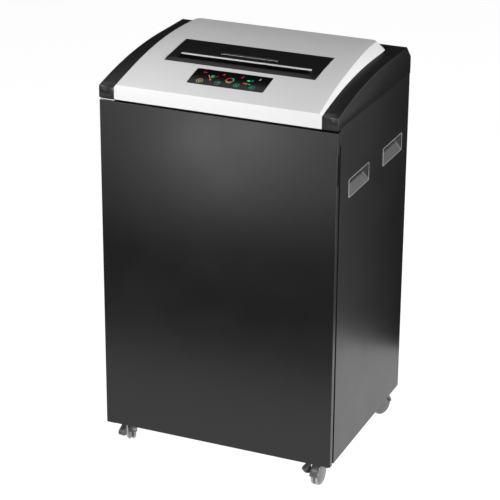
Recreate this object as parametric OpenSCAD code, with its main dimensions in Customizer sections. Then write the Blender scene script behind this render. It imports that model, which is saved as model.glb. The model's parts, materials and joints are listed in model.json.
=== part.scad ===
// Floor-standing office paper shredder with a door, a pull-out bin and castors.
// Millimetres. The origin is on the floor under the middle of the cabinet.
// The front faces -Y, the right side +X, and +Z is up.

/* [Cabinet] */
// Width over the side panels
cab_w = 540; // [530:1:560]
// Depth from the door's face to the back of the rear panel
cab_d = 442; // [436:1:460]
// Height of the door's lower edge above the floor
door_z0 = 62.8; // [62:0.1:66]
// Height of the door's upper edge
door_z1 = 826.5; // [822:0.5:826.5]
// Height of the seam between the cabinet and its top
seam_z = 830; // [829.5:0.5:830]
// Thickness of the folded sheet steel
sheet = 1.5; // [1:0.1:2]

/* [Door] */
// Depth of the door's folded edge
door_t = 13; // [12:0.5:14]
// Gap between the door's back and the side panels' front edge
reveal = 7; // [6:0.5:9]
// Distance of the hinge axis from the cabinet's left face
hinge_inset = 4.5; // [4.5:0.5:6]
// Lower end of the finger pull in the door's right edge
pull_z0 = 709; // [600:1:720]
// Height of the finger pull
pull_h = 72; // [60:1:90]

/* [Top] */
// Overall height, at the crown of the top panel
total_h = 915.2; // [912:0.2:916]
// Radius of the top panel's crown
panel_r = 1102; // [1050:1:1200]
// Radius of the end caps' crown
cap_r = 1171; // [1100:1:1250]
// Height of the end caps' flat rear part
cap_top = 896; // [893:0.5:897]
// Width of each end cap that stays visible beside the top panel
cap_w = 35.5; // [30:0.5:40]
// Wall of the moulded top parts
shell = 2.5; // [2:0.1:3]

/* [Feed throat] */
// Length of the paper slot, for A3 sheets of 297 mm
slot_l = 300; // [300:1:304]
// Opening of the paper slot, front to back
slot_w = 11; // [8:0.5:11]
// Length of the disc slot, for discs of 120 mm
disc_slot_l = 132; // [124:1:136]
// Opening of the disc slot, front to back
disc_slot_w = 4.8; // [4.6:0.1:5]
// Width of the throat plate
throat_w = 346; // [340:1:350]

/* [Cutting head] */
// Radius of the cutting discs
disc_r = 29; // [28:0.1:29]
// Thickness of a cutting disc
disc_t = 5.6; // [5:0.1:5.6]
// Distance from one disc to the next on the same shaft
disc_pitch = 12.4; // [12.2:0.1:12.4]
// Distance between the two cutter shafts
shaft_gap = 54; // [54:0.1:55]
// Height of the cutter shafts
shaft_z = 735; // [730:1:738]

/* [Waste bin] */
// Width over the bin's rim
bin_w = 392; // [360:1:392]
// Depth of the bin with its pull
bin_d = 380; // [340:1:380]
// Height of the bin
bin_h = 480; // [400:1:490]

/* [Castors] */
// Radius of a castor wheel
wheel_r = 25; // [24.5:0.1:25]
// Distance of a castor's swivel axis from the middle, sideways
castor_x = 232; // [228:1:234]
// Distance of a castor's swivel axis from the middle, front to back
castor_y = 173; // [165:1:176]
// Offset from the swivel axis to the axle
trail = 15; // [14:0.5:16]

/* [Hidden] */
$fn = 48;

hx = cab_w / 2;
yf = -cab_d / 2;
yr = cab_d / 2;
over = 1;                       // how far the top stands proud of the cabinet
floor_z = door_z0 + 1;          // underside of the base tray
door_back = yf + door_t;
side_y0 = door_back + reveal + 1;
side_turn = 20;                 // width of the side panels' folded edges
side_in = hx - sheet;           // inner face of the side panels
back_in = yr - 2 * sheet;       // front of the side panels' rear edges
tray_h = 22;                    // height of the base tray's upstand
head_y = side_y0 - 5.4;         // front of the bar over the door opening
head_z = 795;                   // its lower edge
head_top = 827.5;
liner_t = 1;
hinge_x = -hx + hinge_inset;
hinge_y = yf + 7;
pin_r = 3;
run = 0.05;                     // radial clearance of a running fit

cap_x0 = hx + over - cap_w;     // inner edge of the visible cap
ledge = 13;                     // width of the ledge under the top panel's rim
cap_y = 70;                     // where the cap's arc turns flat
cap_front = yf - over;
cap_rear = yr + over;
cap_z0 = seam_z + 1.5;
rear_break = 194;               // where the rear chamfer starts
rear_low = 868;                 // height of the chamfer's lower edge

rim_x = cap_x0 - 1;             // the top panel's rim, at the caps
crown_y = 110;
rim_y = 176;
rim_corner = 34;
rim_gap = 0.05;
bevel_rear = 18;                // height of the panel's bevel at the back

throat_y0 = -103;
throat_y1 = 7;
slot_y = -77.5;                 // middle of the paper slot
bar_y0 = slot_y + slot_w / 2;   // bright bar behind the paper slot
bar_w = 11;
disc_y = -45;
win_w = 174;
win_y0 = -180;
win_y1 = -119.5;

front_y = -99;                  // front cutter shaft
rear_y = front_y + shaft_gap;
head_x = 166;                   // inner face of the side plates
plate_t = 5;
head_plate_z = 772;             // top of the side plates
front_discs = 25;
rear_discs = 24;
core_r = 17;                    // shaft between the discs
journal_r = 12;
gear_x = 175;                   // first gear plane
drive_x = 186;                  // second gear plane
gear_w = 8;
sync_teeth = 24;
drive_teeth = 60;
small_teeth = 15;
large_teeth = 50;
pinion_teeth = 12;
m_sync = shaft_gap / sync_teeth;
m_drive = 2;
m_motor = 1.5;
drop_angle = -16;               // direction from the rear shaft to the intermediate gear
mid_d = m_drive * (drive_teeth + small_teeth) / 2;
mid_y = rear_y + mid_d * cos(drop_angle);
mid_z = shaft_z + mid_d * sin(drop_angle);
motor_d = m_motor * (large_teeth + pinion_teeth) / 2;
motor_y = mid_y + motor_d;
motor_z = mid_z;
motor_r = 52;
motor_shaft_r = 6;
stub_r = 6;                     // stub axle of the intermediate gear
bearing_r = 17.95;
motor_x0 = 20;
motor_x1 = 160;
plate_y0 = front_y - 50;        // front edge of the side plates
rod_r = 6;
rod_end_r = 3.9;                // turned-down ends in the side plates
rod_places = [[front_y - 42, 700], [front_y - 42, 764], [5, 700], [5, 764]];

deck_z = 620;                   // top of the shelf under the cutting head
screw_r = 1.8;
screw_hole_r = 1.85;
screw_x = hx - side_turn / 2;
screw_places = concat([for (x = [-screw_x, screw_x], z = [90, 330, 570, 812]) [x, z]],
    [for (x = [-90, 90]) [x, 76]]);
bin_z0 = 72;
bin_front = door_back + liner_t + 12;
bin_wall = 2.5;
rim_lip = 6;

handle_z0 = 665;
handle_h = 38;
handle_l = 118;
handle_y = [-90.5, 119];
scoop = 26;                     // depth of the scoop behind the side's face

inlet_x = -190;                 // appliance inlet and power switch in the rear panel
inlet_z = 700;
rocker_x = inlet_x + 33;
rocker_y = yr - 6;
rocker_pin_r = 1.5;

stem_r = 5;
socket_r = 8.8;
axle_r = 3;
wheel_free = 0.6;               // clearance around the wheels
lever_z = 55.8;                 // brake lever's cross pin
lever_r = 14.2;                 // its distance from the swivel axis
lever_pin_r = 1.5;
castors = [["fl", -1, -1, 128], ["fr", 1, -1, -93], ["rl", -1, 1, 80], ["rr", 1, 1, 60]];
lever_turn = [133.5, -40];        // brake levers' direction, counted from their castor's trail

// ---- drawing helpers ----

// A box between two opposite corners.
module box(a, b) {
    translate(a) cube(b - a);
}

// A profile drawn as (Y, Z), extruded along X.
module along_x(x0, x1) {
    translate([x0, 0, 0]) rotate([90, 0, 90]) linear_extrude(x1 - x0) children();
}

// A profile drawn as (X, Z), extruded along Y.
module along_y(y0, y1) {
    translate([0, y1, 0]) rotate([90, 0, 0]) linear_extrude(y1 - y0) children();
}

// A round bar along X.
module bar_x(x0, x1, y, z, r) {
    translate([x0, y, z]) rotate([0, 90, 0]) cylinder(r = r, h = x1 - x0);
}

// The same children on both sides of the middle plane.
module both_sides() {
    children();
    mirror([1, 0, 0]) children();
}

// Height of the end caps and of the top panel at a place front to back.
function cap_height(y) = cap_top - cap_r + sqrt(cap_r * cap_r - pow(min(y, cap_y) - cap_y, 2));
function panel_height(y) = total_h - panel_r + sqrt(panel_r * panel_r - pow(y - crown_y, 2));

// ---- cabinet ----

// Floor of the cabinet. Its front lip is low, so that the bin slides over it.
module base_tray() {
    wall = 2;
    lip = 5;
    y0 = side_y0 + sheet;
    x1 = side_in - wall;
    color("dimgray") difference() {
        box([-side_in, y0, floor_z], [side_in, back_in, floor_z + tray_h]);
        box([-x1, y0 + wall, floor_z + wall], [x1, back_in - wall, floor_z + tray_h + 1]);
        box([-x1, y0 - 1, floor_z + lip], [x1, y0 + wall + 1, floor_z + tray_h + 1]);
        for (c = castors) translate([c[1] * castor_x, c[2] * castor_y, floor_z - 1])
            cylinder(r = socket_r + 0.2, h = wall + 2);
        screw_holes();
    }
}

// One side of the cabinet, folded from sheet, with two windows for the handle cups.
module side_panel() {
    in_x = hx - side_turn - 1;
    difference() {
        union() {
            box([hx - side_turn, side_y0, floor_z], [hx, yr, seam_z]);
            box([hx - side_turn, head_y, head_z], [hx, side_y0 + 1, seam_z]);
        }
        box([in_x, side_y0 + sheet, floor_z - 1], [side_in, back_in, seam_z - sheet]);
        box([in_x, head_y - 1, head_z + sheet], [side_in, side_y0 + 3, seam_z - sheet]);
        box([in_x, yr - sheet, floor_z - 1], [side_in, yr + 1, seam_z - sheet]);
        screw_holes();
        for (y = handle_y)
            box([hx - 3, y - handle_l / 2 - 1, handle_z0 - 1],
                [hx + 1, y + handle_l / 2 + 1, handle_z0 + handle_h + 1]);
    }
}

module right_side_panel() {
    color([0.17, 0.17, 0.18]) side_panel();
}

module left_side_panel() {
    color([0.17, 0.17, 0.18]) mirror([1, 0, 0]) side_panel();
}

// Clearance holes for the panel screws, through the rear panel and what lies behind it.
module screw_holes() {
    for (p = screw_places)
        translate([p[0], yr + 1, p[1]]) rotate([90, 0, 0]) cylinder(r = screw_hole_r, h = 12);
}

// Rear panel with rows of cooling slots and windows for the inlet and its switch.
module rear_panel() {
    vents = 7;
    vent_pitch = 11;
    vent_z = 676;
    vent_w = 64;
    vent_h = 4.5;
    color([0.17, 0.17, 0.18]) difference() {
        box([-side_in, yr - sheet, floor_z], [side_in, yr, seam_z - sheet]);
        for (x = [20, 100], i = [0:vents - 1]) translate([x, 0, vent_z + i * vent_pitch])
            box([0, yr - 3, 0], [vent_w, yr + 1, vent_h]);
        box([inlet_x - 24.5, yr - 3, inlet_z - 14.5], [inlet_x + 50.5, yr + 1, inlet_z + 14.5]);
        screw_holes();
    }
}

// Cross bar over the door opening.
module front_header() {
    color([0.14, 0.14, 0.15]) difference() {
        box([-hx + side_turn, head_y, head_z], [hx - side_turn, -185, head_top]);
        box([-hx, head_y + sheet, head_z + sheet], [hx, -184, head_top - sheet]);
    }
}

// Shelf that carries the cutting head and the motor, open under the cutters.
module mechanism_deck() {
    plate = 2;
    y0 = side_y0 + sheet;
    color("gray") difference() {
        union() {
            box([-side_in, y0, deck_z - plate], [side_in, back_in, deck_z]);
            box([-side_in, y0, deck_z - 20], [side_in, y0 + plate, deck_z]);
        }
        box([-head_x + 12, front_y - 24, deck_z - 3], [head_x - 12, rear_y + 24, deck_z + 1]);
    }
}

// Moulded scoop for the fingers, flush at its lower edge and deepest at the top.
module handle_cup() {
    wall = 2;
    up = 8;
    rim = 0.8;
    in = hx - scoop;
    z1 = handle_z0 + handle_h;
    crest = [hx - 14, handle_z0 + 16];
    floor_in = handle_z0 + 14;
    difference() {
        union() {
            along_y(-handle_l / 2 - wall, handle_l / 2 + wall)
                polygon([[side_in, handle_z0 - 3], [side_in, z1 + up + wall], [in - wall, z1 + up + wall],
                    [in - wall, floor_in - wall], [crest[0] + 1, crest[1] - wall - 1], [hx - 4, handle_z0 - 3]]);
            box([hx - 2, -handle_l / 2 - rim, handle_z0 - rim], [hx + 0.6, handle_l / 2 + rim, z1 + rim]);
        }
        along_y(-handle_l / 2, handle_l / 2)
            polygon([[hx + 2, handle_z0], [hx, handle_z0], crest, [in, floor_in], [in, z1 + up],
                [hx - 3.5, z1 + up], [hx - 3.5, z1], [hx + 2, z1]]);
    }
}

module right_handle_cups() {
    color([0.3, 0.3, 0.31]) for (y = handle_y) translate([0, y, 0]) handle_cup();
}

module left_handle_cups() {
    color([0.3, 0.3, 0.31]) mirror([1, 0, 0]) for (y = handle_y) translate([0, y, 0]) handle_cup();
}

// ---- top ----

// Points along the top panel's rim on the right, front to back: place and outward direction.
function rim_line(t, steps, turn) = let (x = rim_x - t, y0 = cap_front + t, yc = rim_y - rim_corner)
    concat([for (i = [0:steps]) [x, y0 + (yc - y0) * i / steps, 1, 0]],
        [for (a = [turn:turn:90]) let (r = rim_corner - t)
            [rim_x - rim_corner + r * cos(a), yc + r * sin(a), cos(a), sin(a)]]);

// A solid under the panel's crown with 45 degree bevels that rise from its rim.
module crowned_block(t, z_low) {
    line = rim_line(t, 40, 10);
    last = len(line) - 1;
    rows = [for (p = line)
        let (h = panel_height(p[1] - p[3] * bevel_rear) - t - cap_height(p[1]),
            ux = p[0] - p[2] * h, uy = p[1] - p[3] * h)
        [[-p[0], p[1], cap_height(p[1]) + z_low], [-ux, uy, panel_height(uy) - t],
            [ux, uy, panel_height(uy) - t], [p[0], p[1], cap_height(p[1]) + z_low]]];
    faces = concat([[0, 1, 2, 3], [4 * last + 3, 4 * last + 2, 4 * last + 1, 4 * last]],
        [for (i = [0:last - 1], f = [[1, 5, 6, 2], [0, 3, 7, 4]]) [for (k = f) 4 * i + k]],
        [for (i = [0:last - 1], f = [[2, 6, 7], [2, 7, 3], [5, 1, 0], [5, 0, 4]]) [for (k = f) 4 * i + k]]);
    polyhedron(points = [for (r = rows, p = r) p], faces = faces, convexity = 4);
}

module top_panel() {
    color("silver") difference() {
        union() {
            crowned_block(0, rim_gap);
            box([-rim_x + 1.5, cap_front, cap_z0],
                [rim_x - 1.5, cap_front + shell, cap_height(cap_front) + 1]);
        }
        crowned_block(shell, -20);
        box([-throat_w / 2, throat_y0, cap_top - 30], [throat_w / 2, throat_y1, total_h + 5]);
        box([-win_w / 2, win_y0, cap_top - 30], [win_w / 2, win_y1, total_h + 5]);
    }
}

// The caps' outline from the front edge to the rear wall, shrunk by t.
module cap_outline(t) {
    intersection() {
        translate([cap_y, cap_top - cap_r]) circle(r = cap_r - t, $fn = 720);
        translate([cap_front + t, cap_z0 - t]) square([cap_y - cap_front - t, 80]);
    }
    polygon([[cap_y - 1, cap_z0 - t], [cap_y - 1, cap_top - t], [rear_break - t / 2, cap_top - t],
        [cap_rear - t, rear_low - t / 2], [cap_rear - t, cap_z0 - t]]);
}

module end_cap() {
    end_x = hx + over;
    difference() {
        union() {
            along_x(cap_x0 - ledge, end_x) difference() {
                cap_outline(0);
                cap_outline(shell);
            }
            along_x(end_x - shell, end_x) cap_outline(0);
            for (y = [-150, 0, 150])
                translate([hx - side_turn / 2, y, seam_z]) cylinder(r = 5, h = cap_height(y) - seam_z - 1);
        }
        box([cap_x0 - ledge - 1, cap_front - 1, cap_z0 - 1], [cap_x0, cap_front + shell + 1.5, rear_low + 4]);
    }
}

module right_end_cap() {
    color([0.11, 0.11, 0.12]) end_cap();
}

module left_end_cap() {
    color([0.11, 0.11, 0.12]) mirror([1, 0, 0]) end_cap();
}

module rear_cap() {
    in_x = cap_x0 - ledge;
    color([0.11, 0.11, 0.12]) difference() {
        along_x(-in_x, in_x) difference() {
            cap_outline(0);
            cap_outline(shell);
        }
        box([-in_x - 1, cap_front - 1, cap_z0 - 9], [in_x + 1, 135, cap_top + 1]);
    }
}

// A plate that follows the panel's crown, raised by up and as thick as t.
module crowned_plate(half_w, y0, y1, up, t) {
    along_x(-half_w, half_w) intersection() {
        difference() {
            translate([crown_y, total_h - panel_r]) circle(r = panel_r + up, $fn = 720);
            translate([crown_y, total_h - panel_r]) circle(r = panel_r + up - t, $fn = 720);
        }
        translate([y0, cap_top - 40]) square([y1 - y0, 70]);
    }
}

// Throat plate with the paper slot, the disc slot and the collars below them.
module feed_throat() {
    gap = 0.4;
    collar = 2;
    lip = 6;
    bar_y1 = bar_y0 + bar_w;
    color([0.13, 0.13, 0.14]) difference() {
        union() {
            crowned_plate(throat_w / 2 - gap, throat_y0 + gap, throat_y1 - gap, 0.6, 3.6);
            crowned_plate(throat_w / 2 + lip, throat_y0 - lip, throat_y1 + lip, -shell, 1.5);
            box([-slot_l / 2 - collar, slot_y - slot_w / 2 - collar, 880],
                [slot_l / 2 + collar, bar_y1 + collar, panel_height(-90)]);
            box([-disc_slot_l / 2 - collar, disc_y - 6, 880],
                [disc_slot_l / 2 + collar, disc_y + 6, panel_height(-52)]);
        }
        box([-slot_l / 2, slot_y - slot_w / 2, 870], [slot_l / 2, bar_y1, 920]);
        box([-disc_slot_l / 2, disc_y - 4, 870], [disc_slot_l / 2, disc_y + 4, 920]);
    }
}

// Pale edge strips: the rear lip of the paper slot and the frame of the disc slot.
module slot_trims() {
    in = 0.3;
    color([0.82, 0.82, 0.82]) {
        intersection() {
            box([-slot_l / 2 + in, bar_y0, 882], [slot_l / 2 - in, bar_y0 + bar_w - in, 920]);
            crowned_plate(throat_w / 2, throat_y0, throat_y1, 1.2, 16);
        }
        difference() {
            intersection() {
                box([-disc_slot_l / 2 + in, disc_y - 3.7, 884], [disc_slot_l / 2 - in, disc_y + 3.7, 920]);
                crowned_plate(throat_w / 2, throat_y0, throat_y1, 0.9, 12);
            }
            box([-disc_slot_l / 2 + 2, disc_y - disc_slot_w / 2, 880],
                [disc_slot_l / 2 - 2, disc_y + disc_slot_w / 2, 925]);
        }
    }
}

module control_window() {
    color("black") crowned_plate(win_w / 2 - 0.3, win_y0 + 0.3, win_y1 - 0.3, 0.3, 3);
}

// Board behind the window, in line with it.
module control_board() {
    y = (win_y0 + win_y1) / 2;
    tilt = asin((crown_y - y) / panel_r);
    color("darkgreen") translate([0, y, panel_height(y) - 14]) rotate([tilt, 0, 0]) {
        box([-84, -24, -1.6], [84, 24, 0]);
        for (x = [-63, -22, 20, 56]) translate([x, -13, 0]) cylinder(r = 4, h = 4);
        for (x = [-60:20:60]) box([x - 2, 8, 0], [x + 2, 12, 3]);
        box([-30, -8, 0], [-10, 4, 3.5]);
        for (x = [-80, 80], y = [-20, 20]) translate([x, y, 0]) cylinder(r = 2.5, h = 10.6);
    }
}

// Guide plates from the two slots down to the cutters.
module paper_chute() {
    half = slot_l / 2 + 2;
    disc_half = disc_slot_l / 2 + 2;
    color("darkgray") {
        along_x(-half, half) polygon([[-86, 879], [-84.5, 879], [-77.5, 770], [-79, 770]]);
        along_x(-half, half) polygon([[-70.5, 879], [-69, 879], [-68.5, 815], [-70, 815]]);
        along_x(-disc_half, disc_half) polygon([[-52, 879], [-50.5, 879], [-63.5, 815], [-65, 815]]);
        along_x(-half, half) polygon([[-39.5, 879], [-38, 879], [-64.5, 770], [-66, 770]]);
        both_sides() {
            along_x(half, half + 1.5) polygon([[-86, 879], [-38, 879], [-64.5, 770], [-79, 770]]);
            box([half, -78, head_plate_z], [head_x + plate_t, -68, head_plate_z + 2]);
        }
    }
}

// Light barrier on the front guide plate that starts the cutters.
module paper_sensor() {
    color("black") {
        box([-10, -101, 838], [10, -84, 848]);
        bar_x(-4, 4, -94, 849, 3.5);
    }
}

// ---- cutting head ----

// Outline of a spur gear with one tooth centred on the first axis.
module gear_outline(teeth, module_size) {
    pitch_r = teeth * module_size / 2;
    root = pitch_r - 1.2 * module_size;
    tip = pitch_r + 0.95 * module_size;
    step = 360 / teeth;
    half_pitch = step / 4 - 0.1 * 180 / (PI * pitch_r);
    half_root = half_pitch * 1.55;
    half_tip = half_pitch * 0.45;
    mid = pitch_r + 0.45 * module_size;
    half_mid = half_pitch * 0.77;
    polygon([for (i = [0:teeth - 1], p = [[root, -half_root], [pitch_r, -half_pitch], [mid, -half_mid],
            [tip, -half_tip], [tip, half_tip], [mid, half_mid], [pitch_r, half_pitch], [root, half_root]])
        p[0] * [cos(i * step + p[1]), sin(i * step + p[1])]]);
}

// A gear wheel on an axis along X, turned so that its tooth or gap meets its partner.
module gear(teeth, module_size, x0, width, y, z, turn, bore) {
    along_x(x0, x0 + width) translate([y, z]) difference() {
        rotate(turn) gear_outline(teeth, module_size);
        if (bore > 0) circle(r = bore);
    }
}

// Outline of a cutting disc: a circle with three hooked notches.
module disc_outline(turn) {
    difference() {
        circle(r = disc_r, $fn = 96);
        for (a = [0:120:240])
            rotate(a + turn) translate([disc_r, 0]) rotate(35) square([9, 4], center = true);
    }
}

// One cutter shaft with its discs, from x = left to x = right over the journals.
module cutter(y, count, right) {
    bar_x(-head_x + 1.5, head_x - 1.5, y, shaft_z, core_r);
    bar_x(-head_x - plate_t - 4, right, y, shaft_z, journal_r);
    for (i = [0:count - 1]) {
        x = (i - (count - 1) / 2) * disc_pitch;
        along_x(x - disc_t / 2, x + disc_t / 2) translate([y, shaft_z]) disc_outline(i * 25);
    }
}

module front_cutter() {
    color("lightsteelblue") cutter(front_y, front_discs, gear_x + gear_w + 0.5);
}

module rear_cutter() {
    color("lightsteelblue") cutter(rear_y, rear_discs, drive_x + gear_w + 3);
}

module front_sync_gear() {
    color("slategray")
        gear(sync_teeth, m_sync, gear_x, gear_w, front_y, shaft_z, 0, journal_r + run);
}

module rear_sync_gear() {
    color("slategray")
        gear(sync_teeth, m_sync, gear_x, gear_w, rear_y, shaft_z, 180 / sync_teeth, journal_r + run);
}

module drive_gear() {
    color("slategray")
        gear(drive_teeth, m_drive, drive_x, gear_w, rear_y, shaft_z, drop_angle, journal_r + run);
}

// Compound gear: the large wheel takes the motor's pinion, the small one drives the cutters.
module intermediate_gear() {
    color("slategray") {
        gear(large_teeth, m_motor, gear_x, gear_w, mid_y, mid_z, 0, stub_r + run);
        gear(small_teeth, m_drive, gear_x + gear_w, drive_x + gear_w - gear_x - gear_w, mid_y, mid_z,
            drop_angle + 180 + 180 / small_teeth, stub_r + run);
    }
}

// Outline of a side plate, up to y1 at the rear, with its bearing and rod holes.
module plate_outline(y1) {
    difference() {
        translate([plate_y0, deck_z]) square([y1 - plate_y0, head_plate_z - deck_z]);
        for (y = [front_y, rear_y]) translate([y, shaft_z]) circle(r = bearing_r + run);
        for (p = rod_places) translate(p) circle(r = rod_end_r + 0.1);
    }
}

// Plates at both ends of the cutters. The right one also carries the motor and the gear's axle.
module cutter_side_plates() {
    left_end = 12;
    right_end = 132;
    gears_end = drive_x + gear_w;
    color("dimgray") {
        along_x(-head_x - plate_t, -head_x) plate_outline(left_end);
        along_x(head_x, head_x + plate_t) difference() {
            plate_outline(right_end);
            translate([motor_y, motor_z]) circle(r = 11);
        }
        bar_x(head_x + plate_t, gears_end + 2, mid_y, mid_z, stub_r);
        bar_x(gears_end + 0.5, gears_end + 2, mid_y, mid_z, stub_r + 3);
    }
}

// Spacer rods between the plates, with shouldered ends.
module cutter_tie_rods() {
    color("silver") for (p = rod_places) {
        bar_x(-head_x, head_x, p[0], p[1], rod_r);
        bar_x(-head_x - plate_t - 3, head_x + plate_t + 3, p[0], p[1], rod_end_r);
    }
}

// Combs whose fingers reach between the discs and strip the shreds off.
module stripper_combs() {
    finger = disc_pitch - disc_t - 1.2;
    reach = 31;
    low = shaft_z - 30;
    bar_d = 4;
    // each comb: its shaft, the shaft's discs, and the side that it stands on
    color("black") for (s = [[front_y, front_discs, -1], [rear_y, rear_discs, 1]]) {
        outer = s[0] + s[2] * 35;
        near = min(outer, outer - s[2] * reach);
        back = min(outer, outer - s[2] * bar_d);
        for (i = [0:s[1] - 2]) {
            x = (i - (s[1] - 2) / 2) * disc_pitch;
            along_x(x - finger / 2, x + finger / 2) difference() {
                translate([near, low]) square([reach, 54]);
                translate([s[0], shaft_z]) circle(r = core_r + 0.8);
            }
        }
        box([-head_x, back, low], [head_x, back + bar_d, low + 8]);
    }
}

module shaft_bearings() {
    color("goldenrod") for (y = [front_y, rear_y], s = [-1, 1])
        translate([s * (head_x + plate_t / 2), y, shaft_z]) rotate([0, 90, 0]) difference() {
            cylinder(r = bearing_r, h = plate_t + 2, center = true);
            cylinder(r = journal_r + run, h = 30, center = true);
        }
}

// Motor can with a nose at the plate and a bore for the rotor's shaft.
module motor_housing() {
    shield = 14;
    wall = 6;
    color([0.35, 0.36, 0.38]) difference() {
        union() {
            bar_x(motor_x0, motor_x1, motor_y, motor_z, motor_r - 3);
            for (x = [motor_x0, motor_x1 - shield]) bar_x(x, x + shield, motor_y, motor_z, motor_r);
            bar_x(motor_x1, head_x, motor_y, motor_z, motor_r / 2);
        }
        bar_x(motor_x0 - 1, head_x + 1, motor_y, motor_z, motor_shaft_r + run);
        bar_x(motor_x0 + wall, motor_x1 - wall, motor_y, motor_z, motor_r - 8);
    }
}

// Cradle that carries the motor on the deck.
module motor_bracket() {
    color("dimgray") for (x = [motor_x0 + 22, motor_x1 - 34])
        along_x(x, x + 12) difference() {
            translate([motor_y - 44, deck_z]) square([88, motor_z - deck_z - 18]);
            translate([motor_y, motor_z]) circle(r = motor_r - 2.8);
        }
}

module run_capacitor() {
    color("gainsboro") {
        bar_x(-70, 10, 165, deck_z + 26, 20);
        bar_x(10, 14, 165, deck_z + 26, 8);
        box([-40, 143, deck_z], [-26, 187, deck_z + 7]);
    }
}

module power_board() {
    color("darkgreen") translate([-160, 110, deck_z]) {
        box([-55, -42, 10], [55, 42, 11.6]);
        for (x = [-50, 50], y = [-37, 37]) translate([x, y, 0]) cylinder(r = 3.5, h = 10);
        box([-45, -30, 11.6], [-10, 5, 40]);
        box([0, -32, 11.6], [18, -8, 28]);
        box([24, -32, 11.6], [42, -8, 28]);
        for (x = [-36, -14, 8]) translate([x, 24, 11.6]) cylinder(r = 7, h = 24);
        box([24, 2, 11.6], [48, 36, 18]);
    }
}

// Three-pole appliance inlet and the frame of the power switch, in one moulding.
module mains_inlet() {
    back = yr - 26;
    color([0.07, 0.07, 0.07]) {
        difference() {
            union() {
                box([inlet_x - 27, yr + 0.02, inlet_z - 17], [inlet_x + 53, yr + 0.9, inlet_z + 17]);
                box([inlet_x - 24, back, inlet_z - 14], [inlet_x + 50, yr + 0.5, inlet_z + 14]);
            }
            box([inlet_x - 12.3, yr - 22, inlet_z - 8.5], [inlet_x + 12.3, yr + 2, inlet_z + 8.5]);
            box([inlet_x + 23, yr - 16, inlet_z - 11], [inlet_x + 43, yr + 2, inlet_z + 11]);
        }
        for (p = [[-7, -2], [7, -2], [0, 2]]) translate([inlet_x + p[0], 0, inlet_z + p[1]])
            box([-1, yr - 22, -2], [1, yr - 6, 2]);
        for (x = [rocker_x - 8.5, rocker_x + 8.5])
            bar_x(x - 2, x + 2, rocker_y, inlet_z, rocker_pin_r);
    }
}

// Power switch key, on a cross axle in its frame.
module power_rocker() {
    color("black") along_x(rocker_x - 9, rocker_x + 9) translate([rocker_y, inlet_z]) difference() {
        polygon([[-5, -5], [4.5, -8.8], [5.2, -8.2], [4, 0], [6, 8.8], [3, 9], [-5, 5]]);
        circle(r = rocker_pin_r + run);
    }
}

// ---- door hardware on the cabinet ----

// The upper bracket lies on the cross bar, the lower one under the base tray.
module hinge_brackets() {
    x0 = -hx + 0.5;
    inner = -hx + side_turn;
    upper_z = head_top;
    lower_z = door_z0 - 2.6;
    color("dimgray") difference() {
        union() {
            box([x0, hinge_y - 4, upper_z], [inner + 14, head_y - 0.4, upper_z + 2.2]);
            box([inner + 1, hinge_y - 4, upper_z], [inner + 14, -188, upper_z + 2.2]);
            box([x0, hinge_y - 4, lower_z], [inner - 1, side_y0 + 3, lower_z + 2]);
            box([x0, side_y0, lower_z], [inner - 1, side_y0 + 18, floor_z]);
        }
        for (z = [lower_z - 1, upper_z - 1]) translate([hinge_x, hinge_y, z]) cylinder(r = pin_r, h = 5);
    }
}

module hinge_pins() {
    color("silver") {
        translate([hinge_x, hinge_y, head_top - 15]) cylinder(r = pin_r, h = 17.2);
        translate([hinge_x, hinge_y, door_z0 - 2.6]) cylinder(r = pin_r, h = 17);
    }
}

module door_switch() {
    color("ivory") {
        box([196, -203.7, 797], [222, -192, 806]);
        bar_x(200, 218, -198, 808, 2);
    }
}

module magnet_catch() {
    color("saddlebrown") {
        box([hx - 100, -205.2, 782], [hx - 60, -190, head_z]);
        for (z = [785, 789.5]) box([hx - 95, -206.2, z], [hx - 65, -205.2, z + 3]);
    }
}

// ---- bin runners, castor sockets and screws ----

// Rails with a low outer wall that the bin slides between.
module bin_runners() {
    inner = bin_w / 2 - rim_lip;
    color("gray") both_sides() difference() {
        box([inner - 44, bin_front + 4, floor_z + 2], [inner + 3.5, yr - 8, floor_z + 26]);
        box([inner - 45, bin_front, bin_z0 - 0.3], [inner + 1.5, yr - 10, floor_z + 30]);
    }
}

module castor_sockets() {
    color("silver") for (c = castors) translate([c[1] * castor_x, c[2] * castor_y, 0]) difference() {
        union() {
            translate([0, 0, floor_z - 2]) cylinder(r = 16, h = 2);
            translate([0, 0, floor_z - 1]) cylinder(r = socket_r, h = 36);
        }
        translate([0, 0, floor_z - 3]) cylinder(r = stem_r + run, h = 36);
    }
}

module panel_screws() {
    head_h = 0.9;
    color("silver") for (p = screw_places) translate([p[0], yr, p[1]]) rotate([-90, 0, 0]) {
        cylinder(r = 4, h = head_h);
        translate([0, 0, -8]) cylinder(r = screw_r, h = 8.5);
    }
}

// ---- door ----

module door_skin() {
    wall = 1.2;
    color([0.2, 0.2, 0.21]) difference() {
        box([-hx, yf, door_z0], [hx, door_back, door_z1]);
        box([-hx + wall, yf + wall, door_z0 + wall], [hx - wall, door_back + 1, door_z1 - wall]);
        box([hx - 3, door_back - 11.3, pull_z0], [hx + 1, door_back + 1, pull_z0 + pull_h]);
        for (z = [door_z0 - 1, door_z1 - 3])
            translate([hinge_x, hinge_y, z]) cylinder(r = pin_r + run, h = 5);
    }
}

module door_liner() {
    color([0.24, 0.24, 0.25])
        box([-hx + 3, door_back, door_z0 + 3], [hx - 3, door_back + liner_t, door_z1 - 3]);
}

// Black cup in the door's right edge that the fingers pull on.
module door_grip() {
    x0 = hx - 24;
    color([0.05, 0.05, 0.05]) difference() {
        box([x0, door_back - 11, pull_z0 + 0.3], [hx - 0.3, door_back, pull_z0 + pull_h - 0.3]);
        box([x0 + 2, door_back - 9, pull_z0 + 2.3], [hx + 1, door_back - 1.5, pull_z0 + pull_h - 2.3]);
    }
}

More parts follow.
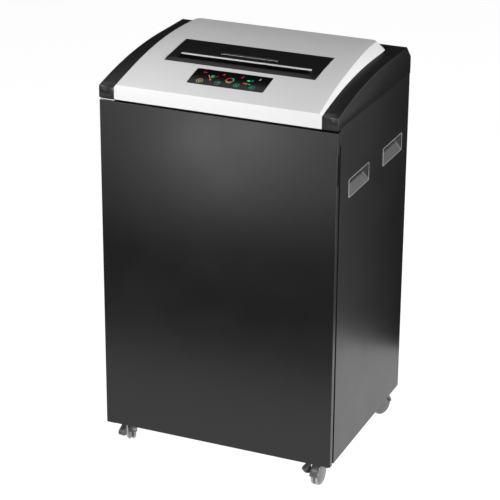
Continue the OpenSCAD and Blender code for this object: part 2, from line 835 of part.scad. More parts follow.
// Bearing blocks inside the door that turn on the hinge pins.
module hinge_bushes() {
    color("ivory") for (z = [door_z0 + 1.2, door_z1 - 1.2 - 14]) difference() {
        box([-hx + 1.2, yf + 1.2, z], [-hx + 22, door_back, z + 14]);
        translate([hinge_x, hinge_y, z - 1]) cylinder(r = pin_r + run, h = 16);
    }
}

module catch_plate() {
    color("silver") {
        box([hx - 96, door_back + liner_t, 784], [hx - 64, door_back + liner_t + 0.5, 794]);
        box([204, door_back + liner_t, 798], [216, door_back + liner_t + 1.2, 806]);
    }
}

// ---- bin ----

module waste_bin() {
    half = bin_w / 2;
    y0 = bin_front + 10;
    y1 = bin_front + bin_d;
    top = bin_z0 + bin_h;
    inner = half - rim_lip;
    color([0.2, 0.2, 0.2]) difference() {
        union() {
            box([-inner, y0, bin_z0], [inner, y1 - rim_lip, top]);
            box([-half, y0, top - 4], [half, y1, top]);
        }
        box([-inner + bin_wall, y0 + bin_wall, bin_z0 + bin_wall],
            [inner - bin_wall, y1 - rim_lip - bin_wall, top + 1]);
    }
}

module bin_pull() {
    z0 = bin_z0 + bin_h - 70;
    color([0.3, 0.3, 0.3]) difference() {
        box([-70, bin_front, z0], [70, bin_front + 10, z0 + 34]);
        box([-64, bin_front + 2.5, z0 - 1], [64, bin_front + 11, z0 + 26]);
    }
}

// ---- motor rotor ----

module motor_rotor() {
    fan_x = 4;
    color("silver") {
        bar_x(fan_x - 4, gear_x, motor_y, motor_z, motor_shaft_r);
        gear(pinion_teeth, m_motor, gear_x, gear_w, motor_y, motor_z, 180 + 180 / pinion_teeth, 0);
        bar_x(fan_x, fan_x + 3, motor_y, motor_z, 42);
        for (a = [0:45:315]) translate([fan_x + 3, motor_y, motor_z]) rotate([a, 0, 0])
            box([-0.5, -1, 12], [9, 1, 42]);
    }
}

// ---- castors ----

// Places its children at a castor, with the trail along +X.
module at_castor(i) {
    c = castors[i];
    translate([c[1] * castor_x, c[2] * castor_y, 0]) rotate(c[3]) children();
}

// A cylinder across the wheels' axle, about the middle of the castor.
module across(r, length) {
    translate([trail, 0, wheel_r]) rotate([90, 0, 0]) cylinder(r = r, h = length, center = true);
}

// Stem, collar and web between the wheels, with a hood over them and ears for a lever in front.
module castor_housing(i) {
    web = 3;
    hood_r = 27;
    color([0.42, 0.42, 0.44]) at_castor(i) {
        difference() {
            union() {
                difference() {
                    union() {
                        translate([0, 0, 48]) cylinder(r = stem_r, h = 46);
                        translate([0, 0, 44]) cylinder(r = 11, h = floor_z - 2.4 - 44);
                    }
                    across(wheel_r + wheel_free, 30);
                }
                along_y(-web / 2, web / 2) {
                    translate([trail, wheel_r]) circle(r = 22);
                    polygon([[-10, 24], [12, 24], [12, 50], [-10, 50]]);
                }
                along_y(-10, 10) intersection() {
                    difference() {
                        translate([trail, wheel_r]) circle(r = hood_r);
                        translate([trail, wheel_r]) circle(r = wheel_r + wheel_free);
                    }
                    translate([-14, 27]) square([42, 30]);
                }
            }
            across(axle_r + run, 30);
        }
        if (i < 2) rotate(lever_turn[i]) {
            for (s = [-1, 1]) box([8, s * 6.4 - 1, lever_z - 4], [lever_r + 2.5, s * 6.4 + 1, lever_z + 3]);
            translate([lever_r, 0, lever_z]) rotate([90, 0, 0])
                cylinder(r = lever_pin_r, h = 13, center = true);
        }
    }
}

// Two wheels on a common axle.
module wheel_set(i) {
    color([0.62, 0.62, 0.64]) at_castor(i) translate([trail, 0, wheel_r]) rotate([90, 0, 0]) {
        cylinder(r = axle_r, h = 12, center = true);
        for (s = [0, 1]) mirror([0, 0, s]) rotate_extrude()
            polygon([[0, 2], [24.2, 2], [wheel_r, 2.8], [wheel_r, 6.6], [23.6, 8.2], [19, 9],
                [8, 9.5], [0, 9.5]]);
    }
}

module brake_lever(i) {
    color([0.3, 0.3, 0.32]) at_castor(i) rotate(lever_turn[i]) difference() {
        intersection() {
            union() {
                along_y(-5, 5) translate([lever_r, lever_z]) circle(r = 2.6);
                along_y(-8, 8) polygon([[lever_r, 54.6], [lever_r, 57.8], [23, 57.8], [27.5, 54.5], [39.5, 39],
                    [41.5, 36], [41, 33], [38.5, 31.5], [30, 31.5], [27.5, 35], [25.5, 54.6]]);
            }
            union() {
                translate([10, -5, 28]) cube([24, 10, 32]);
                translate([33.5, 0, 28]) cylinder(r = 8, h = 32);
            }
        }
        translate([lever_r, 0, lever_z]) rotate([90, 0, 0])
            cylinder(r = lever_pin_r + run, h = 30, center = true);
    }
}

base_tray();
left_side_panel();
right_side_panel();
rear_panel();
front_header();
mechanism_deck();
left_handle_cups();
right_handle_cups();
top_panel();
left_end_cap();
right_end_cap();
rear_cap();
feed_throat();
slot_trims();
control_window();
control_board();
paper_chute();
paper_sensor();
cutter_side_plates();
cutter_tie_rods();
stripper_combs();
shaft_bearings();
motor_housing();
motor_bracket();
run_capacitor();
power_board();
mains_inlet();
power_rocker();
hinge_brackets();
hinge_pins();
door_switch();
magnet_catch();
bin_runners();
castor_sockets();
panel_screws();
door_skin();
door_liner();
door_grip();
hinge_bushes();
catch_plate();
waste_bin();
bin_pull();
front_cutter();
rear_cutter();
front_sync_gear();
rear_sync_gear();
drive_gear();
intermediate_gear();
motor_rotor();
castor_housing(0);  // castor_housing_fl
castor_housing(1);  // castor_housing_fr
castor_housing(2);  // castor_housing_rl
castor_housing(3);  // castor_housing_rr
wheel_set(0);  // wheel_set_fl
wheel_set(1);  // wheel_set_fr
wheel_set(2);  // wheel_set_rl
wheel_set(3);  // wheel_set_rr
brake_lever(0);  // brake_lever_fl
brake_lever(1);  // brake_lever_fr
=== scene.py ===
"""Looks of a floor-standing paper shredder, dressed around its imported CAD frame.

Metres. The front faces -Y, the right side +X, and +Z is up from the floor.
"""
import json
import math

import bmesh
import bpy
from mathutils import Matrix, Vector


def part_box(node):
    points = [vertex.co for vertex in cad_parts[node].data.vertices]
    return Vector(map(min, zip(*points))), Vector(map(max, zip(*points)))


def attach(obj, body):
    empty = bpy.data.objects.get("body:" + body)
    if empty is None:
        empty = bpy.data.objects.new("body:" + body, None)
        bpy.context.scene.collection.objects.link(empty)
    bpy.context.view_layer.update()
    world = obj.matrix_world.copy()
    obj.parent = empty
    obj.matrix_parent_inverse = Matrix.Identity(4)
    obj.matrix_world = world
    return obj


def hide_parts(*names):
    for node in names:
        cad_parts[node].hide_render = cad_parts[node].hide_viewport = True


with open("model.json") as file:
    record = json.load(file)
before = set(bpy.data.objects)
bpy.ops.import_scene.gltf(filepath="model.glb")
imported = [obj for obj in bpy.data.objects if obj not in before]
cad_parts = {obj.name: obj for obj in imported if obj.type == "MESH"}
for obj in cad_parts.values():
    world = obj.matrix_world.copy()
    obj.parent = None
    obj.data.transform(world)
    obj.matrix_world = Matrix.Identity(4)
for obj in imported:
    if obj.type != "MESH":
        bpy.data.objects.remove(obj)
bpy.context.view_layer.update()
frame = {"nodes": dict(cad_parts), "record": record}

MM = 0.001


# ---- shader maths ----

class Shade:
    """One output socket of a node. Arithmetic on it adds Math nodes."""

    def __init__(self, nodes, socket):
        self.nodes = nodes
        self.socket = socket

    def math(self, operation, *values):
        sockets = dict(enumerate(values))
        return self.nodes.node("ShaderNodeMath", {"operation": operation}, sockets)["Value"]

    def __add__(self, other):
        return self.math("ADD", self, other)

    def __mul__(self, other):
        return self.math("MULTIPLY", self, other)

    __radd__ = __add__
    __rmul__ = __mul__

    def larger(self, other):
        return self.math("MAXIMUM", self, other)

    def above(self, edge, blur):
        """0 below the edge and 1 above it, with a soft step as wide as blur."""
        sockets = {"Value": self, "From Min": edge - blur / 2, "From Max": edge + blur / 2}
        settings = {"interpolation_type": "SMOOTHSTEP"}
        return self.nodes.node("ShaderNodeMapRange", settings, sockets)["Result"]


class Nodes:
    """The nodes of a material or of the world."""

    def __init__(self, owner):
        owner.use_nodes = True
        self.tree = owner.node_tree

    def put(self, socket, value):
        """Links a shade to a socket, or sets the socket's value."""
        if isinstance(value, Shade):
            self.tree.links.new(value.socket, socket)
        elif isinstance(value, tuple) and len(value) == 3 and socket.type == "RGBA":
            socket.default_value = (*value, 1.0)
        else:
            socket.default_value = value

    def node(self, kind, settings, sockets):
        """Adds a node: its settings first, then its sockets by name, identifier or number."""
        node = self.tree.nodes.new(kind)
        for name, value in settings.items():
            setattr(node, name, value)
        for key, value in sockets.items():
            by_identifier = [s for s in node.inputs if s.identifier == key]
            self.put(by_identifier[0] if by_identifier else node.inputs[key], value)
        return {s.identifier: Shade(self, s) for s in node.outputs}


class Finish(Nodes):
    """A procedural material around one Principled shader."""

    def __init__(self, name, **constants):
        self.material = bpy.data.materials.new(name)
        super().__init__(self.material)
        self.shader = self.tree.nodes["Principled BSDF"]
        self.set(**constants)
        self.place = self.node("ShaderNodeTexCoord", {}, {})["Object"]

    def set(self, **values):
        """Sets or links the shader's sockets, named with underscores for spaces."""
        for name, value in values.items():
            self.put(self.shader.inputs[name.replace("_", " ")], value)

    def mix(self, one, other, mask):
        """Colour that goes from one to other as the mask goes from 0 to 1."""
        sockets = {"Factor_Float": mask, "A_Color": one, "B_Color": other}
        settings = {"data_type": "RGBA"}
        return self.node("ShaderNodeMix", settings, sockets)["Result_Color"]

    def stretched(self, x, y, z):
        """The place on the object, scaled along each axis, so that a pattern runs in streaks."""
        sockets = {0: self.place, 1: (x, y, z)}
        return self.node("ShaderNodeVectorMath", {"operation": "MULTIPLY"}, sockets)["Vector"]

    def noise(self, scale, detail=2.0, vector=None):
        sockets = {"Vector": vector or self.place, "Scale": scale, "Detail": detail}
        return self.node("ShaderNodeTexNoise", {}, sockets)["Fac"]

    def cells(self, scale):
        sockets = {"Vector": self.place, "Scale": scale}
        return self.node("ShaderNodeTexVoronoi", {}, sockets)["Distance"]

    def bump(self, height, strength, distance):
        sockets = {"Height": height, "Strength": strength, "Distance": distance}
        self.set(Normal=self.node("ShaderNodeBump", {}, sockets)["Normal"])


def shade_of(colour, factor):
    """A colour made darker or lighter."""
    return tuple(min(channel * factor, 1.0) for channel in colour)


def powder_coat(name, colour, roughness=0.5):
    """Fine textured powder coat: small round grains, slightly uneven in gloss."""
    coat = Finish(name, Specular_IOR_Level=0.4)
    grain = coat.cells(900)
    cloud = coat.noise(9, 3)
    speck = coat.noise(1500, 1)
    coat.set(Base_Color=coat.mix(shade_of(colour, 0.8), shade_of(colour, 1.25), cloud * 0.5 + speck * 0.5),
             Roughness=roughness - 0.06 + 0.12 * cloud)
    coat.bump(grain * 0.6 + speck, 0.35, 0.12 * MM)
    return coat.material


def moulded(name, colour, roughness, grain=1800, depth=0.25, specular=0.4):
    """Moulded plastic with a fine spark-eroded texture."""
    plastic = Finish(name, Specular_IOR_Level=specular)
    texture = plastic.noise(grain, 2)
    cloud = plastic.noise(25, 2)
    plastic.set(Base_Color=plastic.mix(shade_of(colour, 0.88), shade_of(colour, 1.12), cloud),
                Roughness=roughness - 0.04 + 0.08 * texture)
    plastic.bump(texture, depth, 0.1 * MM)
    return plastic.material


def silver_lacquer(name, colour):
    """Silver lacquer on a moulded panel: metal flakes under a satin surface."""
    silver = Finish(name, Metallic=0.12, Specular_IOR_Level=0.5)
    flake = silver.noise(2600, 1)
    cloud = silver.noise(14, 2)
    sparkle = flake * 0.7 + cloud * 0.3
    silver.set(Base_Color=silver.mix(shade_of(colour, 0.94), shade_of(colour, 1.05), sparkle),
               Roughness=0.42 + 0.1 * flake)
    silver.bump(flake, 0.08, 0.05 * MM)
    return silver.material


def glossy_acrylic(name, colour):
    """Black acrylic, polished, with the faintest waviness."""
    acrylic = Finish(name, Specular_IOR_Level=0.15)
    wave = acrylic.noise(40, 1)
    dust = acrylic.noise(3000, 1)
    acrylic.set(Base_Color=acrylic.mix(colour, shade_of(colour, 1.6), dust), Roughness=0.09 + 0.05 * dust)
    acrylic.bump(wave, 0.03, 0.2 * MM)
    return acrylic.material


def zinc_plate(name, colour):
    """Zinc-plated sheet with a faint spangle and rolling streaks."""
    zinc = Finish(name, Metallic=1.0)
    spangle = zinc.cells(160)
    streak = zinc.noise(60, 3, zinc.stretched(1.0, 1.0, 14.0))
    zinc.set(Base_Color=zinc.mix(shade_of(colour, 0.75), shade_of(colour, 1.1), spangle * 0.7 + streak * 0.4),
             Roughness=0.3 + 0.18 * streak + 0.1 * spangle)
    zinc.bump(spangle, 0.06, 0.1 * MM)
    return zinc.material


def ground_steel(name, colour):
    """Hardened steel, ground across the axis, so that its lines run round the shafts."""
    steel = Finish(name, Metallic=1.0)
    lines = steel.noise(90, 4, steel.stretched(30.0, 1.0, 1.0))
    stain = steel.noise(35, 3)
    steel.set(Base_Color=steel.mix(shade_of(colour, 0.7), shade_of(colour, 1.15), lines * 0.6 + stain * 0.4),
              Roughness=0.24 + 0.16 * lines + 0.08 * stain)
    steel.bump(lines, 0.1, 0.05 * MM)
    return steel.material


def turned_metal(name, colour, roughness):
    """Small turned or drawn metal parts: bright, with fine tool marks."""
    metal = Finish(name, Metallic=1.0)
    mark = metal.noise(700, 2)
    metal.set(Base_Color=metal.mix(shade_of(colour, 0.9), shade_of(colour, 1.08), mark),
              Roughness=roughness + 0.1 * mark)
    metal.bump(mark, 0.05, 0.03 * MM)
    return metal.material


def circuit_board(name, mask_colour):
    """Solder mask with lighter copper runs, and dark patches where the parts sit."""
    board = Finish(name, Specular_IOR_Level=0.5)
    runs = board.node("ShaderNodeTexWave", {"wave_type": "BANDS", "bands_direction": "DIAGONAL"},
                      {"Vector": board.place, "Scale": 260.0, "Distortion": 6.0, "Detail": 1.0})["Fac"]
    copper = board.mix(mask_colour, shade_of(mask_colour, 2.2), runs.above(0.7, 0.1))
    board.set(Base_Color=board.mix(copper, (0.05, 0.05, 0.055), board.cells(70).above(0.55, 0.05)),
              Roughness=0.3 + 0.2 * runs)
    board.bump(runs, 0.15, 0.05 * MM)
    return board.material


def rubber(name, colour):
    """Grey tread rubber, dusty and slightly scuffed."""
    tread = Finish(name, Specular_IOR_Level=0.3)
    scuff = tread.noise(220, 4)
    dust = tread.noise(1400, 2)
    tread.set(Base_Color=tread.mix(shade_of(colour, 0.8), shade_of(colour, 1.2), scuff * 0.6 + dust * 0.4),
              Roughness=0.55 + 0.2 * scuff)
    tread.bump(scuff + dust * 0.5, 0.2, 0.1 * MM)
    return tread.material


def lit_symbol(name, colour, strength=0.75):
    """A back-lit mark on the window, slightly uneven in its glow."""
    mark = Finish(name, Roughness=0.4, Emission_Strength=strength)
    glow = mark.noise(300, 1)
    mark.set(Base_Color=mark.mix(shade_of(colour, 0.3), shade_of(colour, 0.4), glow),
             Emission_Color=mark.mix(shade_of(colour, 0.85), shade_of(colour, 1.15), glow))
    return mark.material


FINISHES = {
    "black_powder_coat": powder_coat("black_powder_coat", (0.0055, 0.0055, 0.0058), 0.31),
    "dark_liner": powder_coat("dark_liner", (0.05, 0.05, 0.053), 0.45),
    "silver_moulding": silver_lacquer("silver_moulding", (0.62, 0.62, 0.625)),
    "black_moulding": moulded("black_moulding", (0.004, 0.004, 0.0043), 0.36),
    "throat_plastic": moulded("throat_plastic", (0.004, 0.004, 0.0043), 0.3, specular=0.3),
    # The pale trim's colour is partly the bar's own and partly a painted highlight on the paper slot's rear
    # edge.
    "pale_trim": moulded("pale_trim", (0.58, 0.58, 0.58), 0.35),
    "control_glass": glossy_acrylic("control_glass", (0.0012, 0.0012, 0.0014)),
    "circuit_board": circuit_board("circuit_board", (0.01, 0.1, 0.035)),
    "handle_plastic": moulded("handle_plastic", (0.06, 0.06, 0.062), 0.5, grain=900, depth=0.4),
    "zinc_steel": zinc_plate("zinc_steel", (0.55, 0.56, 0.58)),
    "hard_steel": ground_steel("hard_steel", (0.42, 0.43, 0.45)),
    "bearing_bronze": turned_metal("bearing_bronze", (0.6, 0.4, 0.16), 0.3),
    "motor_grey": powder_coat("motor_grey", (0.12, 0.125, 0.13), 0.4),
    "capacitor_can": turned_metal("capacitor_can", (0.75, 0.76, 0.78), 0.25),
    "black_nylon": moulded("black_nylon", (0.02, 0.02, 0.021), 0.45),
    "white_nylon": moulded("white_nylon", (0.72, 0.7, 0.64), 0.45),
    "brown_plastic": moulded("brown_plastic", (0.12, 0.055, 0.025), 0.4),
    "screw_steel": turned_metal("screw_steel", (0.62, 0.62, 0.64), 0.18),
    "bin_plastic": moulded("bin_plastic", (0.05, 0.05, 0.054), 0.5, grain=700),
    "castor_plastic": moulded("castor_plastic", (0.08, 0.08, 0.083), 0.3, specular=0.45),
    "grey_tread": rubber("grey_tread", (0.34, 0.34, 0.345)),
}
SLOT_OF = {part["node"]: part["material_slot"] for part in frame["record"]["subparts"]}
BODY_OF = {node: body for body, nodes in frame["record"]["behaviour"]["bodies"].items() for node in nodes}


# ---- CAD nodes that keep their shape ----

PLAIN_EDGE, FINE_EDGE = 0.5 * MM, 0.15 * MM     # rounding of edges on plain parts and on toothed ones
TOOTHED = {"front_cutter", "rear_cutter", "front_sync_gear", "rear_sync_gear", "drive_gear",
           "intermediate_gear", "motor_rotor"}


def dress_node(name, edge):
    """Gives a CAD node its finish and small rounded edges."""
    node = frame["nodes"][name]
    node.data.materials.clear()
    node.data.materials.append(FINISHES[SLOT_OF[name]])
    weld = node.modifiers.new("weld", "WELD")
    weld.merge_threshold = 0.01 * MM
    soften(node, edge, 35)


def soften(piece, edge, least_angle, segments=2):
    """Rounds a piece's edges that are sharper than least_angle degrees."""
    bevel = piece.modifiers.new("soft_edges", "BEVEL")
    bevel.width = edge
    bevel.segments = segments
    bevel.limit_method = "ANGLE"
    bevel.angle_limit = math.radians(least_angle)
    bevel.harden_normals = True


for node_name in frame["nodes"]:
    dress_node(node_name, FINE_EDGE if node_name in TOOTHED else PLAIN_EDGE)
# Painted shade: the front header gets a darker, duller copy of the black powder coat, standing in for the
# shade in the recess over the door.
RECESS_PAINTED_SHADE = powder_coat("recess_painted_shade", (0.002, 0.002, 0.002), 0.8)
frame["nodes"]["front_header"].data.materials[0] = RECESS_PAINTED_SHADE


# ---- pieces modelled here ----

def add_object(name, data):
    """Puts a mesh, a camera or a lamp into the scene."""
    thing = bpy.data.objects.new(name, data)
    bpy.context.scene.collection.objects.link(thing)
    return thing


def add_piece(name, mesh, node, finish=None):
    """Shows a mesh that rides on a CAD node's body, in the finish of the node's slot unless another finish is
    given.
    """
    for face in mesh.polygons:
        face.use_smooth = True
    slot = SLOT_OF[node]
    mesh.materials.append(finish or FINISHES[slot])
    piece = add_object(name, mesh)
    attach(piece, BODY_OF[node])
    return piece


def make_piece(name, mesh, node, finish=None):
    """Shows a mesh in place of a CAD node."""
    piece = add_piece(name, mesh, node, finish)
    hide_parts(node)
    return piece


def mesh_of(form, name):
    """Turns a bmesh into a mesh with its faces outward."""
    bmesh.ops.recalc_face_normals(form, faces=form.faces)
    mesh = bpy.data.meshes.new(name)
    form.to_mesh(mesh)
    form.free()
    return mesh


def grid(rows, keep=None):
    """A sheet of quads through rows of points. keep(row, column) says which quads stay."""
    form = bmesh.new()
    points = [[form.verts.new(point) for point in row] for row in rows]
    for i in range(len(rows) - 1):
        for j in range(len(rows[0]) - 1):
            if keep is None or keep(i, j):
                corners = [points[i][j], points[i][j + 1], points[i + 1][j + 1], points[i + 1][j]]
                form.faces.new(corners)
    bmesh.ops.delete(form, geom=[v for v in form.verts if not v.link_faces], context="VERTS")
    return form


def merge(form, distance=0.001 * MM):
    """Joins verts that lie closer together than a distance."""
    bmesh.ops.remove_doubles(form, verts=form.verts, dist=distance)


def same(one, other):
    """Whether two measures are equal but for rounding."""
    return abs(one - other) < 1e-6


def face_through(form, verts, places):
    """Adds the face whose corners are the verts closest to the places."""
    form.faces.new([min(verts, key=lambda v: (v.co - place).length) for place in places])


def spread(start, end, step):
    """Evenly spaced values from start to end, both included, about a step apart."""
    count = max(1, round((end - start) / step))
    return [start + (end - start) * i / count for i in range(count + 1)]


def through(stops, step):
    """Evenly spaced values that pass through every stop."""
    values = [stops[0]]
    for start, end in zip(stops, stops[1:]):
        values += spread(start, end, step)[1:]
    return values


def round_edges(form, edges, radius, segments=4):
    """Rolls edges over with a radius."""
    bmesh.ops.bevel(form, geom=edges, offset=radius, offset_type="OFFSET", segments=segments,
                    profile=0.5, affect="EDGES", clamp_overlap=True)


def thicken(piece, thickness, even=True):
    """Gives a sheet its wall thickness, on the inner side of its faces."""
    wall = piece.modifiers.new("wall", "SOLIDIFY")
    wall.thickness = thickness
    wall.offset = -1.0
    wall.use_even_offset = even


def settle_shading(piece):
    """Keeps flat faces flat beside their rounded edges."""
    normals = piece.modifiers.new("flat_faces", "WEIGHTED_NORMAL")
    normals.keep_sharp = True


def sharp_edges(form, least_angle):
    """Edges between two faces that meet at more than least_angle degrees."""
    bmesh.ops.recalc_face_normals(form, faces=form.faces)
    folds = [e for e in form.edges if len(e.link_faces) == 2]
    return [e for e in folds if e.calc_face_angle() > math.radians(least_angle)]


def extrude_rim(form, edges, height):
    """Extrudes edges straight up or down: a point at z goes to height(z)."""
    for item in bmesh.ops.extrude_edge_only(form, edges=edges)["geom"]:
        if isinstance(item, bmesh.types.BMVert):
            item.co.z = height(item.co.z)


def rounded_copy(node, name, radius, least_area=0.0, upright=False):
    """A CAD node's shape with its outer edges rounded, where both faces are larger than least_area.

    With upright, only the edges that stand are rounded.
    """
    form = bmesh.new()
    form.from_mesh(frame["nodes"][node].data)
    merge(form, 0.02 * MM)
    bmesh.ops.dissolve_limit(form, angle_limit=math.radians(1.0), verts=form.verts, edges=form.edges)
    edges = [e for e in sharp_edges(form, 30) if e.is_convex
             and min(face.calc_area() for face in e.link_faces) > least_area]
    if upright:
        edges = [e for e in edges if abs(e.verts[0].co.z - e.verts[1].co.z) > 0.9 * e.calc_length()]
    round_edges(form, edges, radius)
    settle_shading(make_piece(name, mesh_of(form, name), node))


def lathe(profile, centre, axis, steps=48):
    """A turned form: (along, radius) points spun round an axis through centre."""
    axis = Vector(axis).normalized()
    side = axis.orthogonal().normalized()
    up = axis.cross(side)
    rows = []
    for i in range(steps + 1):
        turn = 2 * math.pi * i / steps
        out = side * math.cos(turn) + up * math.sin(turn)
        rows.append([Vector(centre) + axis * along + out * radius for along, radius in profile])
    form = grid(rows)
    merge(form)
    return form


def join(*forms):
    """One bmesh from several."""
    whole = bmesh.new()
    for form in forms:
        part = bpy.data.meshes.new("part")
        form.to_mesh(part)
        form.free()
        whole.from_mesh(part)
        bpy.data.meshes.remove(part)
    return whole


# ---- the moulded top ----

CAB_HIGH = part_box("right_side_panel")[1]
CAP_LOW, CAP_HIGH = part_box("right_end_cap")
PANEL_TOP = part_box("top_panel")[1].z
THROAT_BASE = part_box("feed_throat")[0].z
WINDOW_LOW, WINDOW_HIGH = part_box("control_window")
CAP_FOOT = CAB_HIGH.z + 0.4 * MM            # the caps end just above the cabinet's seam
FRONT_LIFT = 2.0 * MM                       # and their front edge, like the silver panel's, a little higher
CROWN_RADIUS, CROWN_Y = 1.102, 0.110        # the silver panel's arc and its highest place
CAP_RADIUS, CAP_FLAT_Y = 1.171, 0.070       # the caps' arc and the place where it turns flat
CAP_BREAK_Y, CAP_REAR_Z = 0.194, 0.868      # the rear chamfer's two edges
CAP_INNER_X = 0.2355                        # where the silver panel meets the cap
LEDGE_WIDTH, LEDGE_START = 0.013, 0.005     # the caps' ledge under the silver panel starts behind their front
STRIP_FRONT_Y = 0.136                       # the rear strip's front edge, under the silver panel
RIM_X, RIM_REAR_Y, RIM_CORNER = 0.2347, 0.176, 0.034    # the silver panel's side, rear and corner radius
CROWN_HALF = 0.195                          # half width of the crown's even columns, inside the bevels
REAR_BEVEL, STEEPER = 0.018, 0.27           # the bevel's depth, and its gain in slope halfway along a side
SHELL = 0.0025                              # wall of the mouldings
PLATE_HALF, PLATE_FRONT, PLATE_REAR = 0.173, -0.105, 0.007      # throat plate
WINDOW_HALF = WINDOW_HIGH.x
WINDOW_REST = 3.0 * MM                      # width of the panel's edge under the window
PANE_LIFT = 0.35 * MM                       # how far the window stands proud of the crown
SLOT_HALF, SLOT_FRONT, SLOT_REAR = 0.150, -0.089, -0.0695       # paper slot
GUIDE_REAR = -0.0644                        # rear edge of the bar behind the paper slot
PLATE_LIFT, LIP_LIFT = 0.6 * MM, 2.2 * MM   # how far the throat plate and the slot's front lip stand proud
DISC_HALF, DISC_Y, DISC_OPENING = 0.066, -0.045, 2.4 * MM       # disc slot, and half its opening
WINDOW_OPENING = (WINDOW_HALF - WINDOW_REST, WINDOW_LOW.y + WINDOW_REST, WINDOW_HIGH.y - WINDOW_REST)
PLATE_OPENING = (PLATE_HALF, PLATE_FRONT, PLATE_REAR)


def crown_z(y):
    """Height of the silver panel's crown."""
    return PANEL_TOP - CROWN_RADIUS + math.sqrt(CROWN_RADIUS ** 2 - (y - CROWN_Y) ** 2)


def cap_z(y):
    """Height of the end caps' back, flat behind the arc."""
    reach = min(y, CAP_FLAT_Y) - CAP_FLAT_Y
    return CAP_HIGH.z - CAP_RADIUS + math.sqrt(CAP_RADIUS ** 2 - reach ** 2)


def panel_rows():
    """Rows of the silver panel from front to rear: each runs from rim to rim over bevel and crown."""
    straight_end = RIM_REAR_Y - RIM_CORNER
    stops = [CAP_LOW.y, *WINDOW_OPENING[1:], PLATE_FRONT, PLATE_REAR, straight_end]
    line = [(RIM_X, y, 1.0, 0.0) for y in through(stops, 0.008)]
    for degrees in range(6, 91, 6):
        turn = math.radians(degrees)
        out = (math.cos(turn), math.sin(turn))
        line.append((RIM_X - RIM_CORNER + RIM_CORNER * out[0], straight_end + RIM_CORNER * out[1], *out))
    columns = symmetric(WINDOW_OPENING[0], PLATE_HALF, CROWN_HALF, step=0.02)
    rows = []
    for x, y, out_x, out_y in line:
        foot = cap_z(y) + 0.05 * MM     # just clear of the ledge
        rise = crown_z(y - out_y * REAR_BEVEL) - cap_z(y)
        along = min(1.0, (y - CAP_LOW.y) / (straight_end - CAP_LOW.y))
        lean = 1.0 - STEEPER * math.sin(math.pi * along)
        top_x, top_y = x - out_x * rise * lean, y - out_y * rise
        top = [(column, top_y, crown_z(top_y)) for column in columns]
        edge = (top_x, top_y, crown_z(top_y))
        rows.append([(-x, y, foot), (-edge[0], edge[1], edge[2]), *top, edge, (x, y, foot)])
    rows.append([(place[0], RIM_REAR_Y, foot) for place in rows[-1]])
    return rows


def inside(point, half, front, rear):
    """Whether a point lies in an opening that is centred on the middle."""
    return abs(point[0]) < half and front < point[1] < rear


def top_panel():
    """Silver shell with openings for the window and the throat plate."""
    rows = panel_rows()

    def keep(i, j):
        middle = [(a + b) / 2 for a, b in zip(rows[i][j], rows[i + 1][j + 1])]
        return not inside(middle, *WINDOW_OPENING) and not inside(middle, *PLATE_OPENING)

    form = grid(rows, keep)
    merge(form)
    front = [v for v in form.verts if same(v.co.y, CAP_LOW.y)]
    front_edges = [e for e in form.edges if e.verts[0] in front and e.verts[1] in front]
    extrude_rim(form, front_edges, lambda z: CAP_LOW.z + FRONT_LIFT)
    round_edges(form, sharp_edges(form, 25), 2.0 * MM)
    piece = make_piece("silver_top_panel", mesh_of(form, "silver_top_panel"), "top_panel")
    thicken(piece, SHELL)
    soften(piece, 0.35 * MM, 60)


def cap_profile():
    """Front face, arc, flat, chamfer and rear face of the caps, as (y, z)."""
    arc = [(y, cap_z(y)) for y in through([CAP_LOW.y, CAP_LOW.y + LEDGE_START, CAP_FLAT_Y], 0.012)]
    rear = [(CAP_BREAK_Y, CAP_HIGH.z), (CAP_HIGH.y, CAP_REAR_Z), (CAP_HIGH.y, CAP_FOOT)]
    return [(CAP_LOW.y, CAP_FOOT + FRONT_LIFT), *arc, *rear]


def end_cap(side, name, node):
    """Arched cap along one side, closed by its outer wall, with a ledge under the silver panel."""
    profile = cap_profile()
    ledge_x = CAP_INNER_X - LEDGE_WIDTH
    outer_x = CAP_HIGH.x
    rows = [[(side * x, y, z) for x in (ledge_x, CAP_INNER_X, outer_x)] for y, z in profile]
    form = grid(rows, lambda i, j: j == 1 or i > 1)     # no ledge on the front and before its start
    wall = [v for v in form.verts if same(abs(v.co.x), outer_x)]
    face_through(form, wall, [Vector((side * outer_x, y, z)) for y, z in profile])
    round_edges(form, sharp_edges(form, 20), 2.2 * MM)
    thicken(make_piece(name, mesh_of(form, name), node), SHELL)


def rear_cap():
    """Strip between the two caps, over the chamfer and down the rear."""
    half = CAP_INNER_X - LEDGE_WIDTH - 0.1 * MM
    profile = [(STRIP_FRONT_Y, CAP_HIGH.z)] + cap_profile()[-3:]
    rows = [[(x, y, z) for x in spread(-half, half, 0.05)] for y, z in profile]
    form = grid(rows)
    round_edges(form, sharp_edges(form, 20), 1.8 * MM)
    thicken(make_piece("rear_top_cap", mesh_of(form, "rear_top_cap"), "rear_cap"), SHELL)


def crowned_sheet(columns, stops, step, lift, skip):
    """A sheet on the silver panel's crown, raised by lift(y), without the quads where skip(x, y) is true."""
    rows = [[(x, y, crown_z(y) + lift(y)) for x in columns] for y in through(stops, step)]

    def keep(i, j):
        return not skip((rows[i][j][0] + rows[i][j + 1][0]) / 2, (rows[i][j][1] + rows[i + 1][j][1]) / 2)

    return grid(rows, keep)


def symmetric(*stops, step=0.03):
    """Column places on both sides of the middle that pass through every stop."""
    half = through([0.0, *stops], step)
    return [-x for x in reversed(half[1:])] + half


